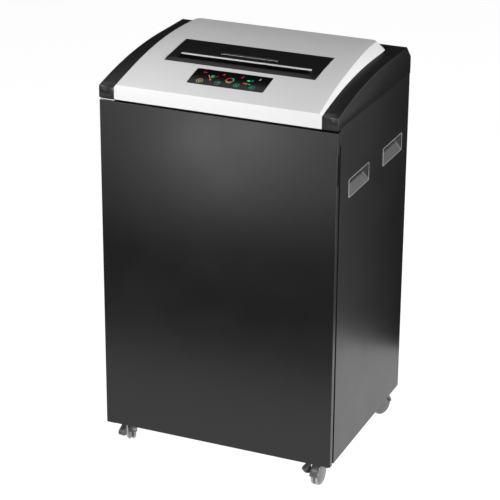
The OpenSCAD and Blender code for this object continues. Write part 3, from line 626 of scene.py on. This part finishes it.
def feed_throat():
    """Throat plate with the paper slot and the disc slot, their walls and rounded lips."""
    gap, mouth_drop, lip_drop, skirt = 0.4 * MM, 1.4 * MM, 1.5 * MM, 3.0 * MM
    half, front, rear = PLATE_HALF - gap, PLATE_FRONT + gap, PLATE_REAR - gap
    disc_front, disc_rear = DISC_Y - DISC_OPENING, DISC_Y + DISC_OPENING

    def skip(x, y):
        in_slot = abs(x) < SLOT_HALF and SLOT_FRONT < y < SLOT_REAR
        return in_slot or (abs(x) < DISC_HALF and disc_front < y < disc_rear)

    def lift(y):
        """The plate slopes up from its front edge to the slot's front lip, and lies low behind the slot."""
        if y > SLOT_FRONT:
            return PLATE_LIFT + (LIP_LIFT - PLATE_LIFT) * max(0.0, (SLOT_REAR - y) / (SLOT_REAR - SLOT_FRONT))
        return LIP_LIFT - (LIP_LIFT - 0.3 * MM) * (SLOT_FRONT - y) / (SLOT_FRONT - front)

    def on_outline(place):
        return same(abs(place.x), half) or same(place.y, front) or same(place.y, rear)

    stops = [front, SLOT_FRONT, SLOT_REAR, disc_front, disc_rear, rear]
    form = crowned_sheet(symmetric(DISC_HALF, SLOT_HALF, half), stops, 0.006, lift, skip)
    rim = [e for e in form.edges if e.is_boundary]
    outer = [e for e in rim if all(on_outline(v.co) for v in e.verts)]
    holes = [e for e in rim if e not in outer]
    slot_mouths(holes, mouth_drop)
    extrude_rim(form, holes, lambda z: z - lip_drop)
    extrude_rim(form, outer, lambda z: z - skirt)
    round_edges(form, sharp_edges(form, 40), 0.5 * MM, 3)
    piece = make_piece("throat_plate", mesh_of(form, "throat_plate"), "feed_throat")
    thicken(piece, 1.0 * MM)


def slot_mouths(edges, drop):
    """Walls inside the slots, from a little under their edges down to the throat's base, in a darker, duller
    black than the throat plate: painted shade in the slots.
    """
    form = bmesh.new()
    for edge in edges:
        (x0, y0, z0), (x1, y1, z1) = [vert.co - Vector((0, 0, drop)) for vert in edge.verts]
        corners = ((x0, y0, z0), (x1, y1, z1), (x1, y1, THROAT_BASE), (x0, y0, THROAT_BASE))
        form.faces.new([form.verts.new(corner) for corner in corners])
    merge(form, 0.01 * MM)
    make_piece("slot_mouths", mesh_of(form, "slot_mouths"), "feed_throat", SLOT_PAINTED_SHADE)


def guide_strip(name, half, front, rear, low, high, finish=None):
    """A straight strip across the throat, from low to high over the crown, with rounded upper edges."""
    columns = spread(-half, half, 0.05)
    form = grid([[(x, y, crown_z(y) + high) for x in columns] for y in spread(front, rear, 0.003)])
    rim = [e for e in form.edges if e.is_boundary]
    extrude_rim(form, rim, lambda z: z + low - high)
    round_edges(form, sharp_edges(form, 40), 0.6 * MM)
    make_piece(name, mesh_of(form, name), "slot_trims", finish)


def disc_slot_frame():
    """Thin dark frame around the disc slot, with a lighter grey rail along its front edge whose grey is
    partly a painted highlight on the slot's edge.
    """
    half, reach, slot, rail = DISC_HALF - 0.3 * MM, 3.4 * MM, 2.2 * MM, 1.7 * MM
    stops = [DISC_Y - reach, DISC_Y - slot, DISC_Y + slot, DISC_Y + reach]

    def skip(x, y):
        return abs(x) < half - rail and abs(y - DISC_Y) < slot

    form = crowned_sheet(symmetric(half - rail, half), stops, 0.01, lambda y: 0.85 * MM, skip)
    piece = make_piece("disc_slot_frame", mesh_of(form, "disc_slot_frame"), "slot_trims", DARK_TRIM)
    thicken(piece, 1.6 * MM)
    soften(piece, 0.3 * MM, 40)
    # The rail's lighter grey is partly a painted highlight on the disc slot's edge.
    guide_strip("disc_guide_rail", half, DISC_Y - reach + 0.1 * MM, DISC_Y - slot + 0.1 * MM,
                low=0.5 * MM, high=1.3 * MM, finish=GREY_RAIL_PAINTED_HIGHLIGHT)


def control_window():
    """Black window with rounded corners, following the crown."""
    corner = 4.0 * MM
    half, front, rear = WINDOW_HALF, WINDOW_LOW.y, WINDOW_HIGH.y
    turns = [math.radians(a) for a in range(90, -1, -15)]
    arc = [(half - corner + corner * math.cos(t), corner - corner * math.sin(t)) for t in turns]
    widths = [(w, front + d) for w, d in arc]
    widths += [(half, y) for y in spread(front + corner, rear - corner, 0.006)[1:-1]]
    widths += [(w, rear - d) for w, d in reversed(arc)]
    rows = [[(w * u, y, crown_z(y) + PANE_LIFT) for u in spread(-1.0, 1.0, 0.25)] for w, y in widths]
    form = grid(rows)
    piece = make_piece("control_window_pane", mesh_of(form, "control_window_pane"), "control_window")
    thicken(piece, 0.9 * MM)
    soften(piece, 0.25 * MM, 50)


# Painted shade: a darker, duller copy of the throat plastic for the walls inside the slots.
SLOT_PAINTED_SHADE = moulded("slot_painted_shade", (0.001, 0.001, 0.001), 0.8, specular=0.05)
DARK_TRIM = moulded("dark_trim", (0.03, 0.03, 0.031), 0.35)
# Lighter grey for the disc slot's rail, partly a painted highlight on the slot's edge.
GREY_RAIL_PAINTED_HIGHLIGHT = moulded("grey_rail_painted_highlight", (0.28, 0.28, 0.285), 0.35)
top_panel()
end_cap(1, "right_arched_cap", "right_end_cap")
end_cap(-1, "left_arched_cap", "left_end_cap")
rear_cap()
feed_throat()
# Pale bar behind the paper slot: its pale colour is partly the bar's own and partly a painted highlight on
# the slot's rear edge.
guide_strip("paper_guide_bar", SLOT_HALF - 0.3 * MM, SLOT_REAR + 0.1 * MM, GUIDE_REAR,
            low=0.4 * MM, high=1.7 * MM)
disc_slot_frame()
control_window()


# ---- lit marks on the window ----

def on_window(u, v):
    """Metres from shares of the window: u from left to right and v from front to rear."""
    size = WINDOW_HIGH - WINDOW_LOW
    return WINDOW_LOW.x + u * size.x, WINDOW_LOW.y + v * size.y


def arc_mark(u, v, radius, width, start=0, end=360):
    """Part of a ring, in degrees counted from the right side, as quads of (x, y)."""
    x, y = on_window(u, v)
    turns = [math.radians(a) for a in spread(start, end, 15)]
    ring = [[(x + r * math.cos(t), y + r * math.sin(t)) for r in (radius - width, radius)] for t in turns]
    return [[a[0], a[1], b[1], b[0]] for a, b in zip(ring, ring[1:])]


def stroke(u, v, path, width):
    """Straight strokes along points given in millimetres from a place on the window."""
    x, y = on_window(u, v)
    quads = []
    for (x0, y0), (x1, y1) in zip(path, path[1:]):
        length = math.hypot(x1 - x0, y1 - y0)
        across = (-(y1 - y0) / length * width / 2, (x1 - x0) / length * width / 2)
        ends = [(x0 + across[0], y0 + across[1]), (x0 - across[0], y0 - across[1]),
                (x1 - across[0], y1 - across[1]), (x1 + across[0], y1 + across[1])]
        quads.append([(x + a * MM, y + b * MM) for a, b in ends])
    return quads


def lit_marks(name, colour, *groups):
    """Marks of one colour, as thin shapes that lie on the window."""
    form = bmesh.new()
    lift = PANE_LIFT + 0.2 * MM
    for quads in groups:
        for quad in quads:
            form.faces.new([form.verts.new((x, y, crown_z(y) + lift)) for x, y in quad])
    merge(form, 0.01 * MM)
    for face in form.faces:
        if face.normal.z < 0:
            face.normal_flip()
    mesh = bpy.data.meshes.new(name)
    form.to_mesh(mesh)
    form.free()
    piece = make_piece(name, mesh, "control_window", lit_symbol(name, colour))
    thicken(piece, 0.15 * MM)


BUTTON_U, BUTTON_V = (0.141, 0.378, 0.624, 0.827), 0.22     # row of buttons: power, forward, stop, reverse
TOP_V = 0.775                                               # row of signs behind the gauge
GAUGE = (0.502, 0.484)                                      # ring gauge in the middle
lit_marks("cream_marks", (0.6, 0.5, 0.26),
          arc_mark(BUTTON_U[0], BUTTON_V, 7.2 * MM, 0.7 * MM),
          arc_mark(BUTTON_U[0], BUTTON_V, 2.9 * MM, 0.8 * MM, 130, 410),
          stroke(BUTTON_U[0], BUTTON_V, [(0, 0.5), (0, 4)], 0.9))
lit_marks("green_marks", (0.008, 0.3, 0.16),
          *[arc_mark(u, BUTTON_V, 6.6 * MM, 0.7 * MM) for u in BUTTON_U[1:]],
          stroke(BUTTON_U[1], BUTTON_V, [(-3, 0), (3, 0)], 0.9),
          stroke(BUTTON_U[1], BUTTON_V, [(0, 3), (3, 0), (0, -3)], 0.9),
          stroke(BUTTON_U[2], BUTTON_V, [(-2.6, -2.6), (2.6, 2.6)], 1.2),
          stroke(BUTTON_U[2], BUTTON_V, [(-2.6, 2.6), (2.6, -2.6)], 1.2),
          stroke(BUTTON_U[3], BUTTON_V, [(-3, 0), (3, 0)], 0.9),
          stroke(BUTTON_U[3], BUTTON_V, [(0, 3), (-3, 0), (0, -3)], 0.9),
          arc_mark(*GAUGE, 9.4 * MM, 2.6 * MM, -25, 80),
          stroke(0.502, 0.31, [(-5.5, 0), (5.5, 0)], 1.8),
          stroke(0.764, 0.625, [(0, 1.7), (5, 1.7)], 1.0),
          stroke(0.764, 0.625, [(0, -1.7), (5, -1.7)], 1.0))
lit_marks("bright_green_marks", (0.02, 0.55, 0.27),
          stroke(0.262, 0.565, [(-3.6, 3.2), (3.6, 3.2)], 1.5),
          stroke(0.262, 0.565, [(-3.6, 0), (3.6, 0)], 1.5),
          stroke(0.262, 0.565, [(-2.8, -3.2), (2.8, -3.2)], 1.5),
          arc_mark(0.735, 0.595, 2.9 * MM, 2.7 * MM),
          stroke(0.735, 0.595, [(-5, 0), (-2.8, 0)], 1.2),
          arc_mark(0.77, 0.39, 1.6 * MM, 1.5 * MM))
lit_marks("pale_green_marks", (0.28, 0.6, 0.44),
          arc_mark(0.842, TOP_V, 4.2 * MM, 1.4 * MM, -75, 60))
lit_marks("red_marks", (0.4, 0.008, 0.014),
          stroke(0.141, TOP_V, [(-4.2, -2), (-4.2, 2), (-0.8, 2), (-0.8, -2), (-4.2, -2)], 0.9),
          stroke(0.141, TOP_V, [(1, -2), (3.8, 2)], 1.5),
          stroke(0.382, TOP_V, [(-2.8, -1.3), (2.8, -1.3)], 2.6),
          stroke(0.382, TOP_V, [(-1, 1.7), (3.2, 1.7)], 2.3),
          stroke(0.629, TOP_V, [(-1.5, -3.5), (1.5, 3.5)], 2.6),
          stroke(0.312, 0.575, [(2.6, 4.5), (-3, -3.6)], 1.3),
          arc_mark(*GAUGE, 9.4 * MM, 2.6 * MM, 88, 190))
lit_marks("pale_marks", (0.6, 0.3, 0.3),
          stroke(0.222, 0.53, [(-3.2, 5.4), (3.6, -4.4)], 1.5))
lit_marks("amber_marks", (0.5, 0.18, 0.008),
          stroke(0.261, 0.353, [(-2.2, 2.4), (2.2, 2.4)], 1.8),
          stroke(0.261, 0.353, [(0, 2.6), (0, -3)], 2.2),
          arc_mark(*GAUGE, 9.4 * MM, 2.6 * MM, 198, 327),
          stroke(0.720, 0.40, [(-4.6, -2.2), (-4.6, 2.2)], 1.8),
          stroke(0.720, 0.40, [(-1, -2.2), (-1, 2.2)], 1.8),
          stroke(0.720, 0.40, [(2.6, -2.2), (2.6, 2.2)], 2.2))


# ---- sheet steel ----

LARGE_FACE = 300 * MM * MM      # keeps the small faces of holes and slots as they are

for panel, title in (("right_side_panel", "right_folded_side"), ("left_side_panel", "left_folded_side")):
    rounded_copy(panel, title, 1.8 * MM, LARGE_FACE, upright=True)
rounded_copy("door_skin", "folded_door_skin", 3.0 * MM, LARGE_FACE)
rounded_copy("rear_panel", "vented_rear_panel", 1.2 * MM, LARGE_FACE)


# ---- handle cups ----

CUP_LOW, CUP_HIGH, CUP_HALF = 0.665, 0.703, 0.059     # the mouth's lower and upper edge and half length
CUP_DEPTH, CUP_UP = 0.026, 0.008                      # reach of the pocket inward and above the mouth
CREST_IN, CREST_UP = 14 * MM, 16 * MM                 # the ramp's crest, from the mouth's lower edge
POCKET_FALL = 2 * MM                                  # how far the pocket's floor lies under the crest
CUP_PLACES = (-0.0905, 0.119)                         # middles of the front and the rear mouth
# Painted highlight: the cup's rim is a lighter, glossier copy of the handle plastic, standing in for the
# highlight along its edges.
CUP_RIM_PAINTED_HIGHLIGHT = moulded("handle_rim_painted_highlight", (0.17, 0.17, 0.173), 0.3)


def handle_cup(side, y, name, node):
    """Finger scoop: a ramp up to a crest, a pocket behind it and a rim that stands proud of the panel."""
    face = CAB_HIGH.x + 0.2 * MM
    lip = face - 3.5 * MM
    deep = face - CUP_DEPTH
    crest_z, roof_z = CUP_LOW + CREST_UP, CUP_HIGH + CUP_UP
    profile = [(face, CUP_LOW), (face - CREST_IN, crest_z), (deep, crest_z - POCKET_FALL), (deep, roof_z),
               (lip, roof_z), (lip, CUP_HIGH), (face, CUP_HIGH)]
    ends = [[Vector((side * x, y + end * CUP_HALF, z)) for x, z in profile] for end in (-1, 1)]
    scoop = grid(list(zip(*ends)))
    for end in ends:
        flank = [v for v in scoop.verts if same(v.co.y, end[0].y)]
        face_through(scoop, flank, end)
    ramp = [e for e in sharp_edges(scoop, 20) if all(v.co.z < CUP_HIGH for v in e.verts)]
    round_edges(scoop, ramp, 3.0 * MM, 5)
    rolled = ((0.0, -1.5), (0.0, 0.2), (0.3, 0.55), (0.9, 0.75), (1.5, 0.55), (1.9, 0.0), (1.9, -1.0))
    rim = [rim_ring(side, y, outward * MM, face + proud * MM) for outward, proud in rolled]
    frame_rim = grid(list(zip(*rim)))
    merge(frame_rim)
    settle_shading(make_piece(name, mesh_of(scoop, name), node))
    # The rim takes the lighter finish, a painted highlight on its edges.
    make_piece(name + "_rim", mesh_of(frame_rim, name), node, CUP_RIM_PAINTED_HIGHLIGHT)


def rim_ring(side, y, out, x):
    """Closed outline round the cup's mouth, spread outward by out, with small round corners."""
    radius = 2.0 * MM + out
    half, tall = CUP_HALF + out - radius, (CUP_HIGH - CUP_LOW) / 2 + out - radius
    middle = (CUP_LOW + CUP_HIGH) / 2
    ring = []
    for corner, (a, b) in enumerate(((1, 1), (-1, 1), (-1, -1), (1, -1))):
        for step in range(5):
            turn = math.radians(90 * corner + 22.5 * step)
            along, up = a * half + radius * math.cos(turn), b * tall + radius * math.sin(turn)
            ring.append((side * x, y + along, middle + up))
    return ring + ring[:1]


for side, word in ((1, "right"), (-1, "left")):
    for y, place in zip(CUP_PLACES, ("front", "rear")):
        handle_cup(side, y, f"{word}_{place}_cup", f"{word}_handle_cups")


# ---- castors ----

JOINTS = {joint["name"]: joint for joint in frame["record"]["behaviour"]["joints"]}
WHEEL_HUB = moulded("wheel_hub_grey", (0.06, 0.06, 0.062), 0.2, specular=0.8)
WHEEL_TREAD = moulded("wheel_tread_grey", (0.3, 0.3, 0.305), 0.25, specular=0.6)


def castor(corner):
    """Twin wheels with domed hubs and crowned treads, and a hood over them.

    Their sections are given as distance along the axle and radius, in millimetres.
    """
    spin = JOINTS["wheel_spin_" + corner]
    centre, axle = Vector(spin["pos_m"]), Vector(spin["axis"])
    stem = Vector(JOINTS["castor_swivel_" + corner]["pos_m"])
    tread = [(2.0, 22.5), (2.1, 24.2), (2.9, 25.0), (4.8, 25.0), (6.6, 24.9), (7.5, 24.2), (7.8, 23.0)]
    hub = [(7.7, 23.2), (8.3, 22.6), (7.7, 21.6), (7.6, 20.5), (8.6, 18.0), (9.3, 12.0), (9.5, 5.0),
           (9.5, 0.0)]
    for title, profile, finish in (("treads_", tread, WHEEL_TREAD), ("hubs_", hub, WHEEL_HUB)):
        pair = [lathe([(side * a * MM, r * MM) for a, r in profile], centre, axle) for side in (-1, 1)]
        make_piece(title + corner, mesh_of(join(*pair), title + corner), "wheel_set_" + corner, finish)

    trail = centre - stem
    trail.z = 0.0
    trail.normalize()
    skirt = [(10.6, 20.5), (10.7, 25.0), (10.2, 26.8), (8.6, 27.7), (4.0, 28.0), (0.0, 28.0)]
    across = [(-a, r) for a, r in skirt] + [(a, r) for a, r in reversed(skirt[:-1])]
    rows = []
    for degrees in spread(8, 160, 6):
        turn = math.radians(degrees)
        out = trail * math.cos(turn) + Vector((0, 0, 1)) * math.sin(turn)
        rows.append([centre + axle * (a * MM) + out * (r * MM) for a, r in across])
    name = "castor_hood_" + corner
    thicken(add_piece(name, mesh_of(grid(rows), name), "castor_housing_" + corner), 0.8 * MM)


def toe_lever(corner):
    """Wedge-shaped toe piece beside a castor, that narrows towards its hinge and its tip."""
    pin, stem = (Vector(JOINTS[joint + corner]["pos_m"]) for joint in ("brake_lever_", "castor_swivel_"))
    out = pin - stem
    out.z = 0.0
    out.normalize()
    across = out.cross(Vector((0, 0, 1)))
    foot = Vector((stem.x, stem.y, 0.0))
    side_view = [(12.5, 54.4, 4.8), (12.5, 58.4, 4.8), (19.0, 58.2, 4.8), (25.0, 54.0, 5.2),
                 (34.0, 47.5, 8.0), (42.5, 41.5, 7.4), (44.8, 38.5, 6.4), (44.8, 34.8, 6.4),
                 (42.0, 31.4, 7.2), (35.0, 29.2, 8.0), (30.5, 29.0, 7.4), (27.5, 34.0, 5.4),
                 (25.5, 54.4, 5.0)]     # reach from the stem, height and half width, in millimetres
    flanks = [[foot + out * (reach * MM) + across * (end * half * MM) + Vector((0, 0, z * MM))
               for reach, z, half in side_view] for end in (-1, 1)]
    form = grid(list(zip(*[flank + flank[:1] for flank in flanks])))
    merge(form)
    for flank in flanks:
        side = (flank[0] - foot).dot(across)
        face_through(form, [v for v in form.verts if (v.co - foot).dot(across) * side > 0], flank)
    round_edges(form, sharp_edges(form, 40), 1.4 * MM)
    name = "brake_lever_" + corner
    settle_shading(make_piece("toe_lever_" + corner, mesh_of(form, name), name))


for corner in ("fl", "fr", "rl", "rr"):
    castor(corner)
for corner in ("fl", "fr"):
    toe_lever(corner)


# ---- waste bin ----

BIN_RADIUS, BIN_WALL, BIN_LIP = 18 * MM, 2.2 * MM, 6 * MM
BIN_FIELD = [(-0.152, 0), (-0.147, 1), (0.147, 1), (0.152, 0)]     # places across and share of the depth


def bin_ring(half, front, rear, radius, z, recess):
    """Outline of the bin at one height, with round corners and a field set back in its front and rear."""
    ring = []
    centres = [(half - radius, rear - radius), (radius - half, rear - radius),
               (radius - half, front + radius), (half - radius, front + radius)]
    for corner, (x, y) in enumerate(centres):
        for degrees in range(0, 91, 15):
            turn = math.radians(90 * corner + degrees)
            ring.append((x + radius * math.cos(turn), y + radius * math.sin(turn), z))
        if corner == 0:
            ring += [(edge, rear - depth * recess, z) for edge, depth in reversed(BIN_FIELD)]
        if corner == 2:
            ring += [(edge, front + depth * recess, z) for edge, depth in BIN_FIELD]
    return ring + ring[:1]


def waste_bin():
    """Moulded bin with round corners, a folded rim and pressed fields that stiffen its walls.

    Its foot and fold are given as places outward and upward, in millimetres, and its fields as height and
    depth.
    """
    low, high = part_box("waste_bin")
    half, rear = high.x - BIN_LIP, high.y - BIN_LIP
    foot = ((-6.0, 0.0), (-2.0, 1.6), (0.0, 6.0))
    fields = ((0.040, 0.0), (0.046, 0.003), (0.340, 0.003), (0.346, 0.0))
    fold = ((0.0, -9.0), (0.3, -4.4), (1.1, -2.8), (2.4, -2.2), (3.4, -2.6), (3.8, -3.6), (3.8, -8.0))

    def swollen(out, z, recess=0.0):
        return bin_ring(half + out, low.y - out, rear + out, BIN_RADIUS + out, z, recess)

    rings = [swollen(out * MM, low.z + z * MM) for out, z in foot]
    rings += [swollen(0.0, low.z + z, recess) for z, recess in fields]
    rings += [swollen(out * MM, high.z + z * MM) for out, z in fold]
    form = grid(rings)
    merge(form)
    base = [v for v in form.verts if same(v.co.z, low.z)]
    face_through(form, base, [Vector(place) for place in rings[0][:-1]])
    mesh = mesh_of(form, "moulded_waste_bin")
    floor = max(mesh.polygons, key=lambda face: face.area)
    if floor.normal.z > 0:      # an open form can come out with its faces inward
        mesh.flip_normals()
    piece = make_piece("moulded_waste_bin", mesh, "waste_bin")
    thicken(piece, BIN_WALL, even=False)
    settle_shading(piece)


waste_bin()


# ---- camera, light and floor ----

def aim(thing, place, target, roll=0.0):
    """Puts a camera or lamp at a place, looking at a target, rolled by an angle in degrees."""
    forward = (Vector(target) - Vector(place)).normalized()
    side = forward.cross(Vector((0, 0, 1))).normalized()
    up = side.cross(forward)
    turn = math.radians(roll)
    right = side * math.cos(turn) + up * math.sin(turn)
    top = right.cross(forward)
    thing.matrix_world = Matrix.Translation(place) @ Matrix((right, top, -forward)).transposed().to_4x4()


def add_camera():
    """Camera with a long lens, which sees the object from its right front and from above."""
    target = (-0.012749, -0.00759, 0.445139)
    distance, azimuth, elevation = 4.4128, math.radians(23.186), math.radians(22.5)
    level = distance * math.cos(elevation)
    place = (target[0] + level * math.sin(azimuth), target[1] - level * math.cos(azimuth),
             target[2] + distance * math.sin(elevation))
    lens = bpy.data.cameras.new("camera")
    lens.lens = 142.325
    lens.sensor_width = 36.0
    camera = add_object("camera", lens)
    aim(camera, place, target, 0.398)
    bpy.context.scene.camera = camera


def add_softbox(name, place, target, size, power):
    """Rectangular lamp, with its power in watts."""
    lamp = bpy.data.lights.new(name, "AREA")
    lamp.shape = "RECTANGLE"
    lamp.size, lamp.size_y = size
    lamp.energy = power
    aim(add_object(name, lamp), place, target)


def brighten_where_seen(nodes, output, plain, bright):
    """Shows a bright shader to rays from the camera, reflections and through glass, and plain to others."""
    rays = nodes.node("ShaderNodeLightPath", {}, {})
    seen = rays["Is Camera Ray"].larger(rays["Is Glossy Ray"]).larger(rays["Is Transmission Ray"])
    mix = nodes.node("ShaderNodeMixShader", {}, {"Fac": seen, 1: plain, 2: bright})["Shader"]
    nodes.put(nodes.tree.nodes[output].inputs["Surface"], mix)


def add_world(ambient):
    """White surroundings, which light the object only at the ambient strength."""
    world = bpy.data.worlds.new("studio")
    bpy.context.scene.world = world
    sky = Nodes(world)
    plain, bright = [sky.node("ShaderNodeBackground", {}, {"Color": (1.0, 1.0, 1.0), "Strength": strength})
                     for strength in (ambient, 1.0)]
    brighten_where_seen(sky, "World Output", plain["Background"], bright["Background"])


def floor_paint(name):
    """Pale paint that reads as white and keeps the object's shadow."""
    material = bpy.data.materials.new(name)
    paint = Nodes(material)
    plain, dull = [paint.node("ShaderNodeBsdfDiffuse", {}, {"Color": (grey, grey, grey)})["BSDF"]
                   for grey in (0.75, 0.25)]
    glow = paint.node("ShaderNodeEmission", {}, {"Strength": 0.93})["Emission"]
    bright = paint.node("ShaderNodeAddShader", {}, {0: dull, 1: glow})["Shader"]
    brighten_where_seen(paint, "Material Output", plain, bright)
    return material


def add_sheet(name, corners, material):
    """Flat sheet with four corners."""
    mesh = bpy.data.meshes.new(name)
    mesh.from_pydata(corners, [], [(0, 1, 2, 3)])
    mesh.materials.append(material)
    return add_object(name, mesh)


def add_floor():
    half = 9.0
    corners = [(-half, -half, 0), (half, -half, 0), (half, half, 0), (-half, half, 0)]
    floor = add_sheet("floor", corners, floor_paint("pale_floor"))


def add_flag(name, low, high, shade=0.02):
    """Upright cloth between two corners that share one y, seen only in reflections."""
    (left, y, foot), (right, _, top) = low, high
    corners = [(left, y, foot), (right, y, foot), (right, y, top), (left, y, top)]
    cloth = Finish(name, Base_Color=(shade, shade, shade), Specular_IOR_Level=0.0)
    flag = add_sheet(name, corners, cloth.material)
    flag.visible_camera = False
    flag.visible_diffuse = False
    flag.visible_shadow = False
    flag.visible_transmission = False


add_camera()
add_world(0.13)
add_floor()
add_flag("rear_flag", (-1.4, 0.5, 0.85), (-0.2, 0.5, 1.6))
add_flag("tall_flag", (-0.2, 0.5, 0.85), (0.5, 0.5, 2.3))
add_flag("corner_flag", (0.27, 0.5, 0.02), (0.5, 0.5, 0.85))
add_flag("side_flag", (0.5, 0.5, 0.02), (0.95, 0.5, 0.85), 0.2)
add_flag("front_flag", (-1.8, -0.72, 0.02), (0.4, -0.72, 0.42))
add_flag("left_flag", (-2.0, -1.0, 0.02), (-0.45, -1.0, 0.34))
add_softbox("key_softbox", (-0.5, -1.45, 1.3), (0.0, -0.2, 0.8), (0.5, 0.9), 10.5)
add_softbox("door_softbox", (-0.42, -1.25, 0.415), (0.03, -0.22, 0.75), (0.2, 0.16), 1.2)
add_softbox("top_softbox", (-0.85, -0.9, 1.7), (-0.15, -0.15, 0.85), (0.4, 0.4), 12.0)
add_softbox("right_softbox", (2.3, -0.1, 1.4), (0.2, 0.0, 0.85), (0.7, 0.7), 70.0)
add_softbox("edge_softbox", (1.45, -1.15, 0.25), (0.27, -0.22, 0.55), (0.3, 0.3), 15.0)
bpy.context.scene.view_settings.view_transform = "Standard"
